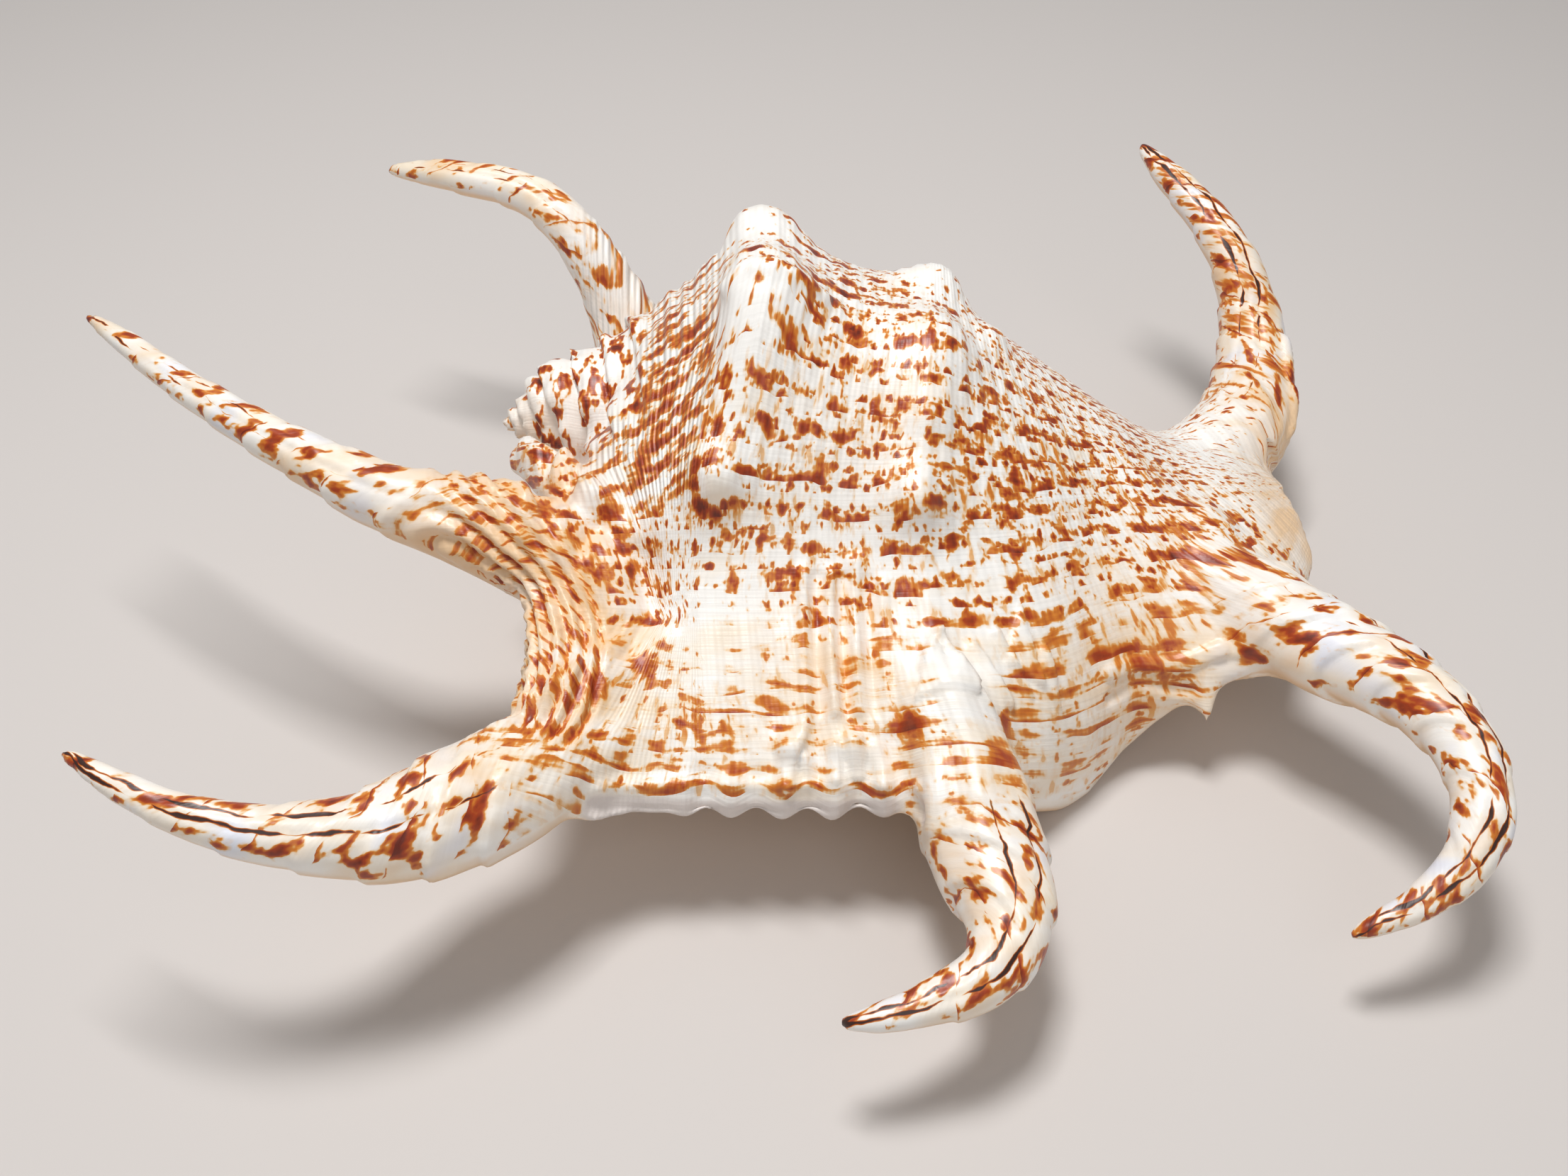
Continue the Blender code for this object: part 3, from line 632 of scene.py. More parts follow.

# %% [markdown]
# The colours will follow the surface through a few values kept on its vertices: the growth and
# rib counts, the fingers' own places, how much each spot belongs to every region, and how thickly
# the animal laid its rust and peach there. Those last two are painted as listed soft touches.

# %% Keep the patterns' places on the mesh
# Each touch: its place, its radius, and how much rust it adds or takes away.
RUST_TOUCHES = [
    ((-5, -15, 65.5), 4.5, -0.35), ((-3, 14, 62), 6.0, -0.25), ((-9.7, -33.2, 49.5), 1.5, -0.6),
    ((-11.6, -30.9, 51.8), 1.1, 0.35), ((-11.9, -32.4, 49.1), 1.0, 0.5), ((20, -8, 54), 5.0, -0.15),
    ((-11.2, -33.6, 46.4), 1.1, 0.55), ((-9.1, -34.0, 45.3), 1.1, 0.3), ((-6.8, -33.3, 47.1), 1.0, 0.35),
    ((1.9, -10.8, 68.6), 1.0, 0.6), ((4.2, -9.8, 66.3), 1.0, 0.6), ((6.6, -7.8, 63), 1.1, 0.6),
    ((9.4, -11.4, 60.4), 1.2, 0.5), ((-3.5, -13.0, 69.5), 1.0, 0.5), ((-44, 1, 34), 4.0, -0.25),
    ((-36, -14, 39.5), 1.4, 0.6), ((-34.5, -22, 42.5), 1.4, 0.5), ((-31, -25, 42.8), 1.4, 0.6),
    ((72, 8, 30), 9.0, -0.25),
    ((23, 10, 56), 5.0, -0.3), ((-9, -44.5, 34.5), 6.0, -0.22), ((-15, -12, 54), 9.0, 0.16),
    ((-17, -24, 48), 6.0, 0.14), ((50, -14, 38), 14.0, 0.05), ((30, -22, 46), 9.0, 0.08),
    ((60, -24, 28.5), 5.0, 0.12), ((71, -15, 27), 5.0, 0.05), ((-24.8, -29.4, 42.6), 1.3, 0.5),
    ((-28, -27, 42.6), 1.9, -0.6), ((19, -25, 49), 3.0, -0.12),
    ((24, -52, 31), 5.0, -0.3), ((17.5, -57, 28), 2.2, 0.45), ((30, -53, 24), 2.2, 0.35),
    ((-31, -63, 33), 4.0, 0.1), ((-19, -50, 33), 1.8, 0.35), ((54, -37, 20), 5.0, 0.2),
    ((-12, -56, 29), 1.8, 0.3), ((-8.5, -57, 28), 1.6, 0.3), ((-25, -55, 33), 2.0, 0.25),
    ((0.4, -61, 24), 1.8, -0.5), ((9.6, -60, 24.5), 1.8, -0.5), ((20, -51, 31), 2.5, -0.4),
    ((88, 3, 17), 9.0, -0.4), ((87, 18, 24), 5.0, -0.25), ((80, -10, 22), 6.0, -0.5),
    ((-20, -37, 38.5), 1.4, 0.45), ((-18.5, -43, 35), 1.3, 0.45), ((-22.5, -33.5, 41.3), 1.3, 0.4),
    ((-30, -34, 42), 2.4, 0.2), ((-34, -29, 44), 2.2, 0.3), ((-26.5, -38, 39.5), 2.0, 0.25),
]


# The same for peach: where the shell glows warm under its marks.
PEACH_TOUCHES = [
    ((86, 2, 18), 9.0, 1.0), ((84, 16, 22), 8.0, 1.2), ((80, 44, 32), 9.0, 0.35),
    ((6, -48, 31), 11.0, 0.45), ((-24, -52, 32), 8.0, 0.35), ((52, -38, 16), 9.0, 0.6),
    ((26, -68, 20), 9.0, 0.45), ((70, -30, 24), 8.0, 0.45), ((-42, -28, 41), 10.0, 0.5),
    ((-44, -70, 29), 9.0, 0.4), ((44, -32, 26), 9.0, 0.3), ((12, -22, 52), 10.0, 0.25),
    ((-26, 34, 26), 10.0, 0.4), ((60, -16, 31), 8.0, 0.3), ((80, -10, 21), 8.0, 1.4),
    ((-40, -2, 36), 7.0, 0.4), ((-34, -24, 43), 7.0, 1.0), ((-27, -38, 39), 7.0, 1.0),
    ((-23, -48, 34), 5.0, 0.7),
]


def laid(spots, touches):
    """How much more or less colour than usual the touches lay on every spot."""
    amounts = np.zeros(len(spots))
    for place, radius, amount in touches:
        amounts += amount * hill(np.linalg.norm(spots - np.array(place), axis=1), radius)
    return amounts


def keep(name, values):
    """Stores one value or one vector for every vertex."""
    kind = "FLOAT" if values.ndim == 1 else "FLOAT_VECTOR"
    layer = skin.data.attributes.new(name, kind, "POINT")
    layer.data.foreach_set("value" if kind == "FLOAT" else "vector", values.ravel())


places = drawn_places(skin.data)
normals = outward(skin.data)
at = region_shares(places, normals[:, 2])
keep("body_place", np.stack((at["ribs"], at["growth"], np.zeros(len(places))), axis=1))
keep("bay_place", np.stack((at["bay_run"], at["bay_gap"], np.zeros(len(places))), axis=1))
keep("finger_place", at["finger_place"])
keep("rust_laid", laid(places, RUST_TOUCHES))
keep("peach_laid", laid(places, PEACH_TOUCHES))
for region in ("finger", "spire", "ramp", "wing", "bay", "lip", "under"):
    keep(region + "_share", at[region])
print("painted", len(RUST_TOUCHES), "touches of rust and", len(PEACH_TOUCHES), "of peach")

# %% [markdown]
# Shader nodes are easier to read when they are written like sums. These helpers add a node, plug
# in its inputs, and hand back its output.

# %% Helpers for shader nodes
def plug(tree, value, socket):
    """Links an output to a socket, or sets the socket to a plain value."""
    if isinstance(value, bpy.types.NodeSocket):
        tree.links.new(value, socket)
    else:
        socket.default_value = value


def node(tree, kind, **settings):
    made = tree.nodes.new(kind)
    for name, value in settings.items():
        setattr(made, name, value)
    return made


def calc(tree, operation, *values, clamp=False):
    made = node(tree, "ShaderNodeMath", operation=operation, use_clamp=clamp)
    for value, socket in zip(values, made.inputs):
        plug(tree, value, socket)
    return made.outputs[0]


def combine(tree, x, y, z):
    made = node(tree, "ShaderNodeCombineXYZ")
    for value, socket in zip((x, y, z), made.inputs):
        plug(tree, value, socket)
    return made.outputs[0]


def split(tree, vector):
    made = node(tree, "ShaderNodeSeparateXYZ")
    plug(tree, vector, made.inputs[0])
    return made.outputs


def spread(tree, *parts):
    """A place whose (value, size) parts are each divided by the size that they vary over."""
    return combine(
        tree, *[calc(tree, "DIVIDE", *part) if isinstance(part, tuple) else part for part in parts])


def swing(tree, count, spacing, kind="COSINE"):
    """A wave along the count that comes back after every spacing."""
    return calc(tree, kind, calc(tree, "MULTIPLY", count, 2 * math.pi / spacing))


def noise(tree, vector, threshold=0.0, scale=1.0, detail=2.0):
    """Smooth noise from 0 to 1, centred on 0.5, less a threshold that it has to pass."""
    made = node(tree, "ShaderNodeTexNoise")
    plug(tree, vector, made.inputs["Vector"])
    plug(tree, scale, made.inputs["Scale"])
    plug(tree, detail, made.inputs["Detail"])
    return calc(tree, "SUBTRACT", made.outputs[0], threshold) if threshold else made.outputs[0]


def ramp(tree, value, stops):
    """A colour ramp from (place, colour) stops."""
    made = node(tree, "ShaderNodeValToRGB")
    elements = made.color_ramp.elements
    while len(elements) < len(stops):
        elements.new(0.5)
    for element, (place, colour) in zip(elements, stops):
        element.position = place
        element.color = colour
    plug(tree, value, made.inputs[0])
    return made.outputs[0]


def blend(tree, share, first, second):
    """Goes from the first colour to the second as the share goes from 0 to 1."""
    made = node(tree, "ShaderNodeMix", data_type="RGBA")
    plug(tree, share, made.inputs[0])
    plug(tree, first, made.inputs[6])
    plug(tree, second, made.inputs[7])
    return made.outputs[2]


def between(tree, share, first, second):
    """Goes from the first value to the second as the share goes from 0 to 1."""
    return calc(tree, "MULTIPLY_ADD", calc(tree, "SUBTRACT", second, first), share, first)


def stored_place(tree, name):
    return node(tree, "ShaderNodeAttribute", attribute_name=name).outputs["Vector"]


def stored_value(tree, name):
    return node(tree, "ShaderNodeAttribute", attribute_name=name).outputs["Fac"]


def share_of(tree, region):
    return stored_value(tree, region + "_share")


def rgb(red, green, blue):
    """A colour given as it shows on a screen, from 0 to 255, made linear for the shader."""
    linear = []
    for value in (red, green, blue):
        share = value / 255
        linear.append(share / 12.92 if share <= 0.04045 else ((share + 0.055) / 1.055) ** 2.4)
    return (*linear, 1.0)


WHITE = rgb(252, 249, 244)
CREAM = rgb(247, 230, 205)
PEACH = rgb(240, 205, 165)
BLUISH = rgb(232, 234, 244)
AMBER = rgb(236, 184, 112)
OCHRE = rgb(216, 128, 40)
RUST = rgb(170, 62, 10)
BROWN = rgb(108, 32, 8)
SEAM = rgb(58, 30, 20)
# Mostly painted shade for the lip's front band, which faces away from the lamp above, and a little of
# the band's own translucent grey.
LIP_SHADE_AND_GREY = rgb(226, 216, 210)

# %% [markdown]
# The rust marks of the dorsum stand in rows. Each row ends in a line where the growing edge
# paused, and its marks lick up from that line like flames between the spiral ribs. Between the
# rows lie rounder blots. One node group draws both, and takes the row's height, the marks'
# length and their fringe of fine teeth.

# %% The group that draws rows of marks
SWAY_SIZE = 9.0
ROW_SEED_STEP = 3.71
FLAME_HEIGHT = 0.8
FLAME_THINNING = 0.27
BLOT_HEIGHT = 2.4
BLOT_GATHERING = 0.045
TOOTH_WIDTH = 0.5
TOOTH_HEIGHT = 3.4
MARK_CONTRAST = 2.4


def new_group(name, inputs, outputs):
    """A shader node group with its sockets, and the nodes at its two ends."""
    group = bpy.data.node_groups.new(name, "ShaderNodeTree")
    for label, kind, value in inputs:
        socket = group.interface.new_socket(label, in_out="INPUT", socket_type=kind)
        if value is not None:
            socket.default_value = value
    for label, kind in outputs:
        group.interface.new_socket(label, in_out="OUTPUT", socket_type=kind)
    return group, node(group, "NodeGroupInput"), node(group, "NodeGroupOutput")


def make_rows_group():
    group, given, result = new_group(
        "growth row marks",
        [("Place", "NodeSocketVector", None), ("Row", "NodeSocketFloat", 5.0),
         ("Length", "NodeSocketFloat", 2.5), ("Wobble", "NodeSocketFloat", 3.0),
         ("Comb", "NodeSocketFloat", 0.4), ("Flame", "NodeSocketFloat", 0.4),
         ("Seed", "NodeSocketFloat", 0.0)],
        [("Strength", "NodeSocketFloat")],
    )
    across, up, _ = split(group, given.outputs["Place"])
    seed = given.outputs["Seed"]
    sway = noise(group, spread(group, (across, SWAY_SIZE), (up, SWAY_SIZE), seed), 0.5, detail=2.5)
    swayed = calc(group, "ADD", up, calc(group, "MULTIPLY", sway, given.outputs["Wobble"]))
    counted = calc(group, "DIVIDE", swayed, given.outputs["Row"])
    rise = calc(group, "FRACT", counted)
    row_seed = calc(group, "MULTIPLY_ADD", calc(group, "FLOOR", counted), ROW_SEED_STEP, seed)
    long = (across, given.outputs["Length"])
    rising = calc(group, "MULTIPLY", rise, FLAME_HEIGHT)
    flame = noise(group, spread(group, long, rising, row_seed), 0.5, detail=1.5)
    flame = calc(group, "MULTIPLY_ADD", rise, -FLAME_THINNING, flame)
    blot_seed = calc(group, "ADD", seed, 31.0)
    blot = noise(group, spread(group, long, (swayed, BLOT_HEIGHT), blot_seed), 0.5)
    blot = calc(group, "MULTIPLY_ADD", swing(group, counted, 1, "SINE"), BLOT_GATHERING, blot)
    strength = between(group, given.outputs["Flame"], blot, flame)
    comb_seed = calc(group, "ADD", row_seed, 9.0)
    teeth = spread(group, (across, TOOTH_WIDTH), (swayed, TOOTH_HEIGHT), comb_seed)
    comb = calc(group, "MULTIPLY", noise(group, teeth, 0.5, detail=1.0), given.outputs["Comb"])
    strength = calc(group, "MULTIPLY_ADD", strength, MARK_CONTRAST, comb)
    plug(group, strength, result.inputs["Strength"])
    return group


rows_group = make_rows_group()
print("the rows' group has", len(rows_group.nodes), "nodes")


def rows(tree, place, **values):
    """Places the row group in a material with its own values."""
    made = node(tree, "ShaderNodeGroup", node_tree=rows_group)
    plug(tree, place, made.inputs["Place"])
    for name, value in values.items():
        plug(tree, value, made.inputs[name])
    return made.outputs["Strength"]


# %% [markdown]
# Each finger carries two dark seams along its back, where the lip closed round it, broken into
# dashes. Narrow bands cross it where its growth paused, and between them lie blots of rust.

# %% The group that draws a finger's marks
CANAL_START = FINGER_GAP * list(FINGERS).index("canal") - 1
SEAMED_START = FINGER_GAP * list(FINGERS).index("finger_3") - 1
BLOT_SIZE = 3.0
BLOT_LENGTH = 3.4
BAND_SPACING = 8.5
BAND_SHARE = 0.11
FAN_SPACING = 1.9
DASH_LENGTH = 6.5
DASH_STRENGTH = 0.6
SEAM_SWAY = 1.8
SEAM_SHARPNESS = 1.7
RUST_ROUND_SEAM = 0.14


def make_finger_group():
    group, given, result = new_group(
        "finger marks",
        [("Place", "NodeSocketVector", None)],
        [("Blots", "NodeSocketFloat"), ("Seams", "NodeSocketFloat"), ("Panel", "NodeSocketFloat")],
    )
    place = given.outputs["Place"]
    side, up, run = split(group, place)
    angle = calc(group, "ARCTAN2", side, up)
    thick = calc(group, "SQRT", calc(
        group, "MULTIPLY_ADD", side, side, calc(group, "MULTIPLY", up, up)))
    slanted = calc(group, "ADD", side, run)
    blots = spread(group, (side, BLOT_SIZE), (up, BLOT_SIZE), (slanted, BLOT_LENGTH))
    blots = noise(group, blots, 0.555, detail=2.5)
    band = calc(group, "MULTIPLY_ADD", side, FINGER_FOLD_SLANT, run)
    band = calc(group, "MULTIPLY_ADD", noise(group, place, scale=0.12), 9.0, band)
    band = calc(group, "FRACT", calc(group, "DIVIDE", band, BAND_SPACING))
    edge = calc(group, "MULTIPLY", calc(group, "SUBTRACT", BAND_SHARE, band), 6.0, clamp=True)
    blots = calc(group, "MULTIPLY_ADD", edge, 0.18, blots)
    blots = calc(group, "MULTIPLY", blots, MARK_CONTRAST)

    turned = calc(group, "MULTIPLY", angle, 0.7)
    fan = (calc(group, "MULTIPLY_ADD", angle, 3.0, run), FAN_SPACING)
    fan = calc(group, "MAXIMUM", noise(group, spread(group, turned, 0.0, fan), 0.55, detail=2.5), -0.2)
    fan = between(group, calc(group, "GREATER_THAN", run, CANAL_START), -1.0, fan)
    blots = calc(group, "MAXIMUM", blots, calc(group, "MULTIPLY", fan, 1.3))

    sway = noise(group, place, 0.5, scale=0.22)
    lines = []
    for seam_angle, seed in zip(SEAM_ANGLES, (0.0, 7.0)):
        off = calc(group, "MULTIPLY", calc(group, "SUBTRACT", angle, seam_angle), thick)
        off = calc(group, "ABSOLUTE", calc(group, "MULTIPLY_ADD", sway, SEAM_SWAY, off))
        dash = noise(group, spread(group, seed, 0.0, (run, DASH_LENGTH)), 0.44, detail=3.0)
        dash = calc(group, "MINIMUM", calc(group, "MULTIPLY", dash, 4.0), DASH_STRENGTH)
        lines.append(calc(group, "MULTIPLY_ADD", off, -SEAM_SHARPNESS, dash))
    own_run = calc(group, "MODULO", run, FINGER_GAP)
    root = calc(group, "MULTIPLY_ADD", own_run, 0.03, -1.05, clamp=True)
    seams = calc(group, "MULTIPLY_ADD", root, -0.5, calc(group, "MAXIMUM", *lines))
    fainter = calc(group, "LESS_THAN", run, SEAMED_START)
    seams = calc(group, "MULTIPLY_ADD", fainter, -0.4, seams)
    seams = calc(group, "MAXIMUM", seams, calc(group, "MULTIPLY_ADD", own_run, -0.3, 0.25))
    blots = calc(group, "MAXIMUM", blots, calc(group, "ADD", seams, RUST_ROUND_SEAM))
    plug(group, blots, result.inputs["Blots"])
    plug(group, seams, result.inputs["Seams"])
    plug(group, noise(group, place, scale=0.14, detail=1.0), result.inputs["Panel"])
    return group


finger_group = make_finger_group()
print("the fingers' group has", len(finger_group.nodes), "nodes")

# %% [markdown]
# Each region is marked in its own way. Large and small marks mix on the back, and on the wing
# they draw out into long dashes that keep to the grooves. Bands cross the ramp below the spire,
# slanted dashes fill the saddle's grooves, and the spire's old whorls have only small spots.

# %% The marks of the back, the wing and the ramp
LARGE_MARKS = {"Row": 5.0, "Length": 2.2, "Comb": 0.36, "Flame": 0.4, "Wobble": 4.0}
SMALL_MARKS = {
    "Row": 2.6, "Length": 1.2, "Comb": 0.30, "Flame": 0.3, "Wobble": 2.0, "Seed": 21.0}
LONG_MARKS = {
    "Row": 5.2, "Length": 5.0, "Comb": 0.30, "Flame": 0.5, "Wobble": 6.0, "Seed": 40.0}
RAMP_BANDS = {
    "Row": 6.0, "Length": 3.6, "Comb": 0.8, "Flame": 0.15, "Wobble": 4.0, "Seed": 60.0}
LONG_THINNING = 1.6
RAMP_THINNING = 1.3
RAMP_SLANT = -0.35
STREAK_WIDTH = 1.1
STREAK_LENGTH = 4.5
STREAK_LIMIT = 0.02
WING_STRENGTH = 0.6


def body_marks(tree, place):
    """The marks of the body whorl, with streaks, the wing's dashes and the ramp's bands."""
    across, up, _ = split(tree, place)
    large = rows(tree, place, **LARGE_MARKS)
    small = rows(tree, place, **SMALL_MARKS)
    thin = combine(tree, across, calc(tree, "MULTIPLY", up, LONG_THINNING), 0.0)
    long = rows(tree, thin, **LONG_MARKS)
    back = calc(tree, "MAXIMUM", large, calc(tree, "ADD", small, -0.10))

    far_right = calc(tree, "MULTIPLY_ADD", across, 0.1, -5.6, clamp=True)
    long = calc(tree, "MULTIPLY_ADD", far_right, -0.16, long)
    specks = calc(tree, "ADD", small, calc(tree, "MULTIPLY_ADD", far_right, 0.20, -0.24))
    wing = calc(tree, "MAXIMUM", long, specks)
    wing = calc(tree, "MULTIPLY_ADD", swing(tree, across, WING_RIB_SPACING), -0.10, wing)
    wing = calc(tree, "MULTIPLY", wing, WING_STRENGTH)
    body = between(tree, share_of(tree, "wing"), back, wing)

    streaks = spread(tree, (across, STREAK_WIDTH), (up, STREAK_LENGTH), 77.0)
    streaks = calc(tree, "MULTIPLY", noise(tree, streaks, 0.64, detail=2.5), 0.9)
    body = calc(tree, "MAXIMUM", body, calc(tree, "MINIMUM", streaks, STREAK_LIMIT))

    slope = calc(tree, "MULTIPLY_ADD", across, RAMP_SLANT, up)
    slope = combine(tree, across, calc(tree, "MULTIPLY", slope, RAMP_THINNING), 0.0)
    bands = calc(tree, "MULTIPLY_ADD", rows(tree, slope, **RAMP_BANDS), 0.55, -0.02)
    return between(tree, share_of(tree, "ramp"), body, bands)


# %% The marks of the saddle, the spire and the fingers
BAY_DASH_LENGTH = 3.6
SPIRE_SPOT_WIDTH = 1.7 * MM
SPIRE_SPOT_LENGTH = 3.2 * MM
UNDER_CLEARING = 2.0
LIP_CLEARING = 0.35


def bay_marks(tree):
    """Slanted dashes that keep to the grooves between the saddle's ribs."""
    run, gap, _ = split(tree, stored_place(tree, "bay_place"))
    along = (calc(tree, "MULTIPLY_ADD", gap, 0.9, run), BAY_DASH_LENGTH)
    aside = calc(tree, "MULTIPLY_ADD", run, -0.6, gap)
    dashes = calc(tree, "MULTIPLY", noise(tree, spread(tree, along, aside, 4.0), 0.52, detail=2.5), 1.5)
    return calc(tree, "MULTIPLY_ADD", swing(tree, gap, BAY_RIB_SPACING), -0.11, dashes)


def spire_marks(tree):
    """Small spots, drawn out round the spire."""
    x, y, z = split(tree, node(tree, "ShaderNodeTexCoord").outputs["Object"])
    spots = spread(tree, (x, SPIRE_SPOT_WIDTH), (y, SPIRE_SPOT_LENGTH), (z, SPIRE_SPOT_LENGTH))
    return calc(tree, "MULTIPLY", noise(tree, spots, 0.53), 3.0)


def region_marks(tree, place):
    """How strongly every spot is marked, its dark seams, and the panels of the fingers."""
    marks = between(tree, share_of(tree, "bay"), body_marks(tree, place), bay_marks(tree))
    marks = between(tree, share_of(tree, "spire"), marks, spire_marks(tree))
    marks = calc(tree, "ADD", marks, stored_value(tree, "rust_laid"))
    fingers = node(tree, "ShaderNodeGroup", node_tree=finger_group)
    plug(tree, stored_place(tree, "finger_place"), fingers.inputs["Place"])
    finger = share_of(tree, "finger")
    marks = between(tree, finger, marks, fingers.outputs["Blots"])
    marks = calc(tree, "MULTIPLY_ADD", share_of(tree, "under"), -UNDER_CLEARING, marks)
    marks = calc(tree, "MULTIPLY_ADD", share_of(tree, "lip"), -LIP_CLEARING, marks)
    seams = calc(tree, "MULTIPLY", fingers.outputs["Seams"], finger)
    return marks, seams, fingers.outputs["Panel"]


# %% [markdown]
# Under the marks the porcelain isn't plain white. It turns to cream in soft patches, to a cool
# white and a warm peach by turns along the fingers, and to peach where the shell is thin. On the
# lip's front band it turns grey, mostly as painted shade and a little as the band's own grey.

# %% The porcelain under the marks
TINT_WIDTH = 12.0
TINT_HEIGHT = 6.0
TINT_START = 0.54
COOL_START = 0.55
GLOW_END = 0.47
PANEL_CONTRAST = 5.0


def porcelain(tree, place, panel):
    """The shell's colour before any mark is laid on it, with painted shade on the lip band."""
    across, up, _ = split(tree, place)
    finger = share_of(tree, "finger")
    tint = noise(tree, spread(tree, (across, TINT_WIDTH), (up, TINT_HEIGHT), 3.0), detail=3.0)
    warm = calc(tree, "SUBTRACT", tint, TINT_START)
    for region, more in (("wing", 0.16), ("finger", 0.16), ("bay", 0.10)):
        warm = calc(tree, "MULTIPLY_ADD", share_of(tree, region), more, warm)
    base = blend(tree, calc(tree, "MULTIPLY", warm, 3.0, clamp=True), WHITE, CREAM)
    cool = calc(tree, "SUBTRACT", panel, COOL_START)
    cool = calc(tree, "MULTIPLY", cool, PANEL_CONTRAST, clamp=True)
    base = blend(tree, calc(tree, "MULTIPLY", cool, finger), base, BLUISH)
    glow = calc(tree, "SUBTRACT", GLOW_END, panel)
    glow = calc(tree, "MULTIPLY", glow, PANEL_CONTRAST, clamp=True)
    peach = calc(tree, "MULTIPLY", calc(tree, "MULTIPLY", glow, finger), 0.7)
    peach = calc(tree, "MULTIPLY_ADD", share_of(tree, "bay"), 0.8, peach)
    peach = calc(tree, "ADD", peach, stored_value(tree, "peach_laid"))
    peach = calc(tree, "MULTIPLY", peach, calc(tree, "MULTIPLY_ADD", tint, 2.4, -0.4), clamp=True)
    base = blend(tree, peach, base, PEACH)
    base = blend(tree, share_of(tree, "under"), base, PEACH)
    # The lip's front band greys: mostly painted shade, a little its own translucent grey.
    return blend(tree, share_of(tree, "lip"), base, LIP_SHADE_AND_GREY)


# %% Threads and lines too fine to carve
THREAD_SPACING = 0.75
LINE_LENGTH = 14.0
LINE_HEIGHT = 0.55
FOLD_LINE_HEIGHT = 0.9
FOLD_LINE_LENGTH = 12.0
BUMP_STRENGTH = 0.5
BUMP_DEPTH = 0.25 * MM


def fine_bump(tree, place):
    """Spiral threads and growth lines on the body, and fine slanted lines on the fingers."""
    across, up, _ = split(tree, place)
    finger = share_of(tree, "finger")
    lines = noise(tree, spread(tree, (across, LINE_LENGTH), (up, LINE_HEIGHT), 8.0), detail=3.0)
    deep = calc(tree, "MULTIPLY_ADD", share_of(tree, "ramp"), 0.8, 0.14)
    threads = swing(tree, across, THREAD_SPACING, "SINE")
    body = calc(tree, "MULTIPLY_ADD", threads, deep, calc(tree, "MULTIPLY", lines, 0.7))
    side, _, run = split(tree, stored_place(tree, "finger_place"))
    slanted = (calc(tree, "MULTIPLY_ADD", side, FINGER_FOLD_SLANT, run), FOLD_LINE_HEIGHT)
    folds = noise(tree, spread(tree, slanted, 0.0, (run, FOLD_LINE_LENGTH)))
    bump = node(tree, "ShaderNodeBump")
    bump.inputs["Strength"].default_value = BUMP_STRENGTH
    bump.inputs["Distance"].default_value = BUMP_DEPTH
    height = between(tree, finger, body, calc(tree, "MULTIPLY", folds, 0.6))
    plug(tree, height, bump.inputs["Height"])
    return bump.outputs[0]


# %% [markdown]
# One material covers the whole shell, as one animal made it. White porcelain comes first, then
# the marks with their amber edges, then the dark seams, and at last the polish.

# %% The shell's material
BLACK = (0, 0, 0, 1)
FAINT = (0.32, 0.32, 0.32, 1)
FULL = (1, 1, 1, 1)
MARK_RAISE = 0.25
HALO_STOPS = [(0.16, BLACK), (0.24, FAINT), (0.28, FULL)]
RUST_STOPS = [(0.26, AMBER), (0.31, OCHRE), (0.45, RUST), (0.72, BROWN)]
SEAM_STOPS = [(0.0, BLACK), (0.16, FULL)]
POLISH = {"Roughness": 0.42, "Coat Weight": 0.2, "Coat Roughness": 0.22}


def shell_material():
    material = bpy.data.materials.new("painted_porcelain")
    material.use_nodes = True
    tree = material.node_tree
    tree.nodes.clear()
    place = stored_place(tree, "body_place")
    marks, seams, panel = region_marks(tree, place)
    raised = calc(tree, "ADD", marks, MARK_RAISE)
    colour = porcelain(tree, place, panel)
    colour = blend(tree, ramp(tree, raised, HALO_STOPS), colour, ramp(tree, raised, RUST_STOPS))
    colour = blend(tree, ramp(tree, seams, SEAM_STOPS), colour, SEAM)
    shader = node(tree, "ShaderNodeBsdfPrincipled")
    plug(tree, colour, shader.inputs["Base Color"])
    for name, value in POLISH.items():
        shader.inputs[name].default_value = value
    plug(tree, fine_bump(tree, place), shader.inputs["Normal"])
    out = node(tree, "ShaderNodeOutputMaterial")
    tree.links.new(shader.outputs[0], out.inputs["Surface"])
    print(material.name, "has", len(tree.nodes), "nodes")
    return material


skin.data.materials.clear()
skin.data.materials.append(shell_material())
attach(skin, "root")
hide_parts("shell")

# %% [markdown]
# The shell lies on a plain pale floor in soft studio light. The key light hangs straight above,
# so that each finger's shadow lies right under it, and a weak one fills in from the front.

# %% The floor
FLOOR_COLOUR = rgb(214, 208, 204)
FLOOR_ROUGHNESS = 0.7
FLOOR_SIZE = 3.0

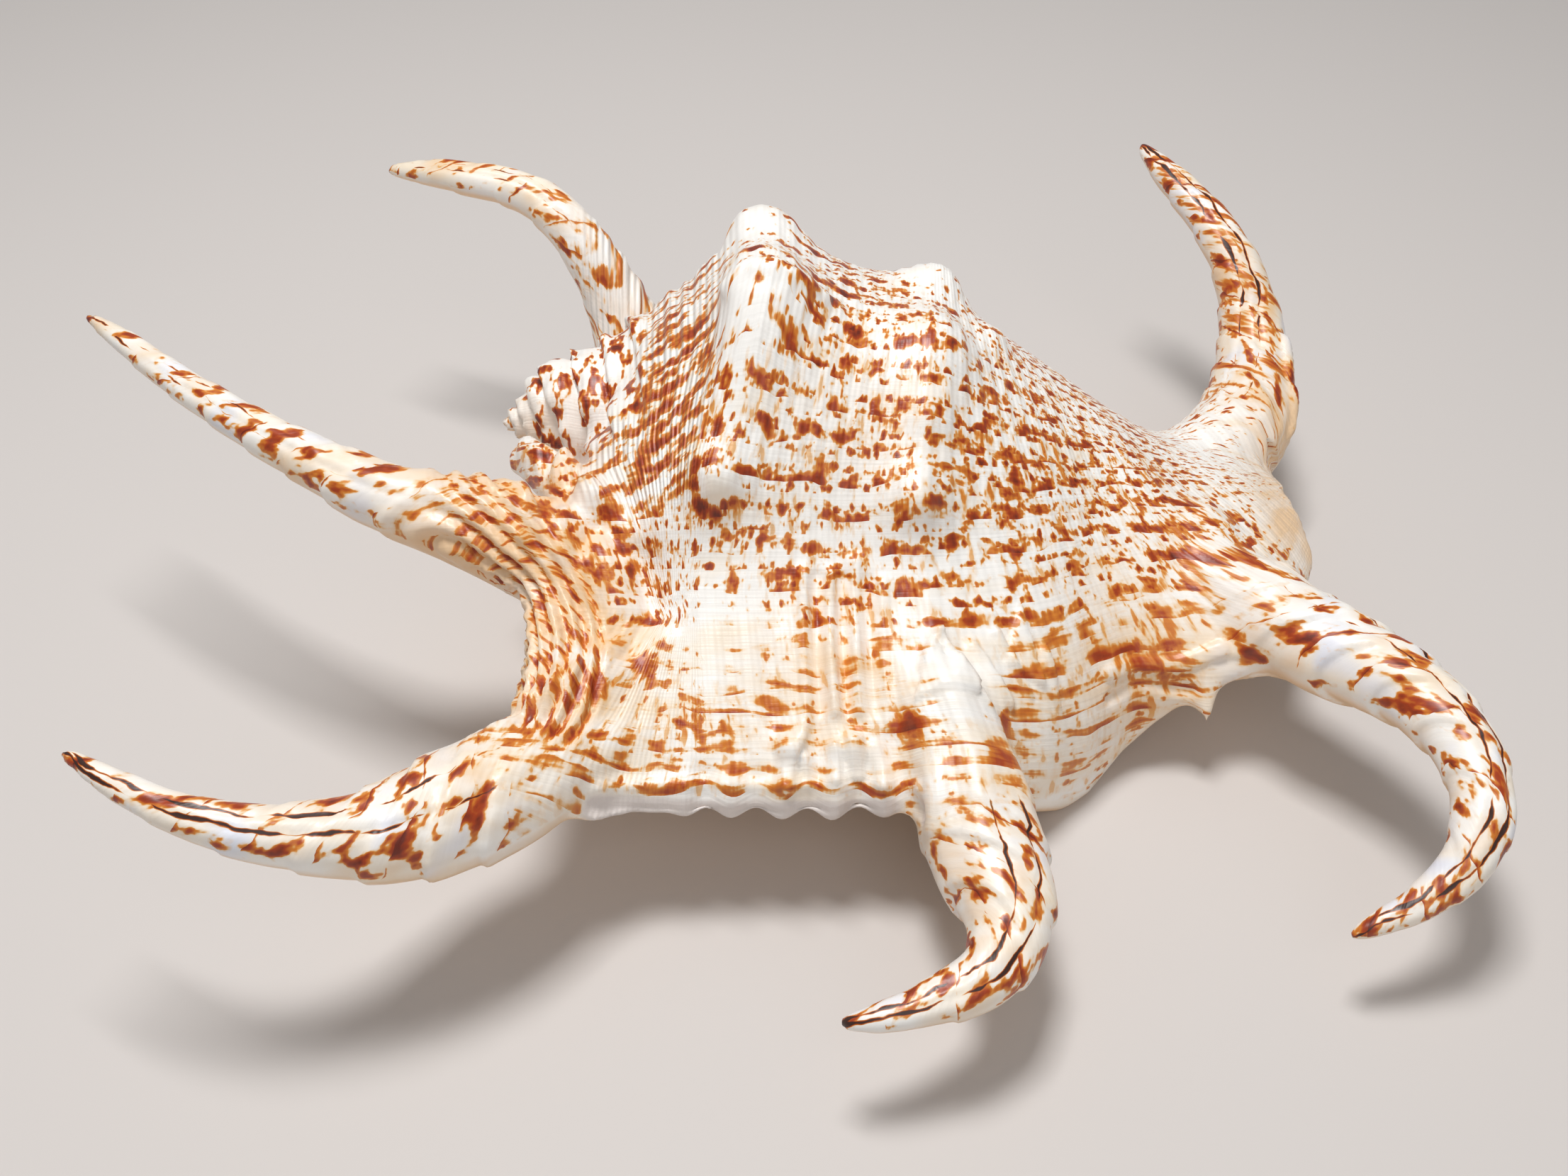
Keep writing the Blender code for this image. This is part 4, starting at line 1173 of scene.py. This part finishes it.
bpy.ops.object.select_all(action="DESELECT")
bpy.ops.mesh.primitive_plane_add(size=FLOOR_SIZE, location=(0, 0, 0))
floor = bpy.context.object
floor.name = "floor"
floor_finish = bpy.data.materials.new("pale_floor")
floor_finish.use_nodes = True
floor_shader = floor_finish.node_tree.nodes["Principled BSDF"]
floor_shader.inputs["Base Color"].default_value = FLOOR_COLOUR
floor_shader.inputs["Roughness"].default_value = FLOOR_ROUGHNESS
floor.data.materials.append(floor_finish)
print("the floor is", FLOOR_SIZE, "m wide")

# %% The lamps
KEY_PLACE = (-0.05, 0.03, 0.62)
KEY_SIZE = 0.16
KEY_POWER = 2.8
FILL_PLACE = (0.12, -0.45, 0.42)
FILL_SIZE = 0.40
FILL_POWER = 0.5
STUDIO_BRIGHTNESS = 0.27


def soft_light(name, place, size, power):
    """A square lamp that looks at the shell."""
    lamp = bpy.data.lights.new(name, "AREA")
    lamp.size = size
    lamp.energy = power
    made = bpy.data.objects.new(name, lamp)
    made.location = place
    away = -np.array(place)
    flat = math.hypot(away[0], away[1])
    made.rotation_euler = (math.atan2(flat, -away[2]), 0, math.atan2(-away[0], away[1]))
    bpy.context.scene.collection.objects.link(made)


soft_light("key", KEY_PLACE, KEY_SIZE, KEY_POWER)
soft_light("fill", FILL_PLACE, FILL_SIZE, FILL_POWER)

world = bpy.data.worlds.new("studio")
world.use_nodes = True
world.node_tree.nodes["Background"].inputs["Color"].default_value = FULL
world.node_tree.nodes["Background"].inputs["Strength"].default_value = STUDIO_BRIGHTNESS
bpy.context.scene.world = world
bpy.context.scene.view_settings.view_transform = "Standard"
print("lamps", [lamp.name for lamp in bpy.data.lights])

# %% [markdown]
# The camera looks down at the shell steeply, from close by. A lens as long as its sensor is wide
# sees a little more than fifty degrees, so the near fingers look larger than the far ones.

# %% The camera
CAMERA_PLACE = (0.00488, -0.18595, 0.18414)
CAMERA_TILT = math.radians(47)
LENS_LENGTH = 36
SENSOR_WIDTH = 36
NEAREST_SEEN = 0.01

lens = bpy.data.cameras.new("portrait")
lens.lens = LENS_LENGTH
lens.sensor_width = SENSOR_WIDTH
lens.clip_start = NEAREST_SEEN
print("the camera sees", round(math.degrees(lens.angle)), "degrees across")
camera = bpy.data.objects.new("portrait", lens)
camera.location = CAMERA_PLACE
camera.rotation_euler = (CAMERA_TILT, 0, 0)
bpy.context.scene.collection.objects.link(camera)
bpy.context.scene.camera = camera
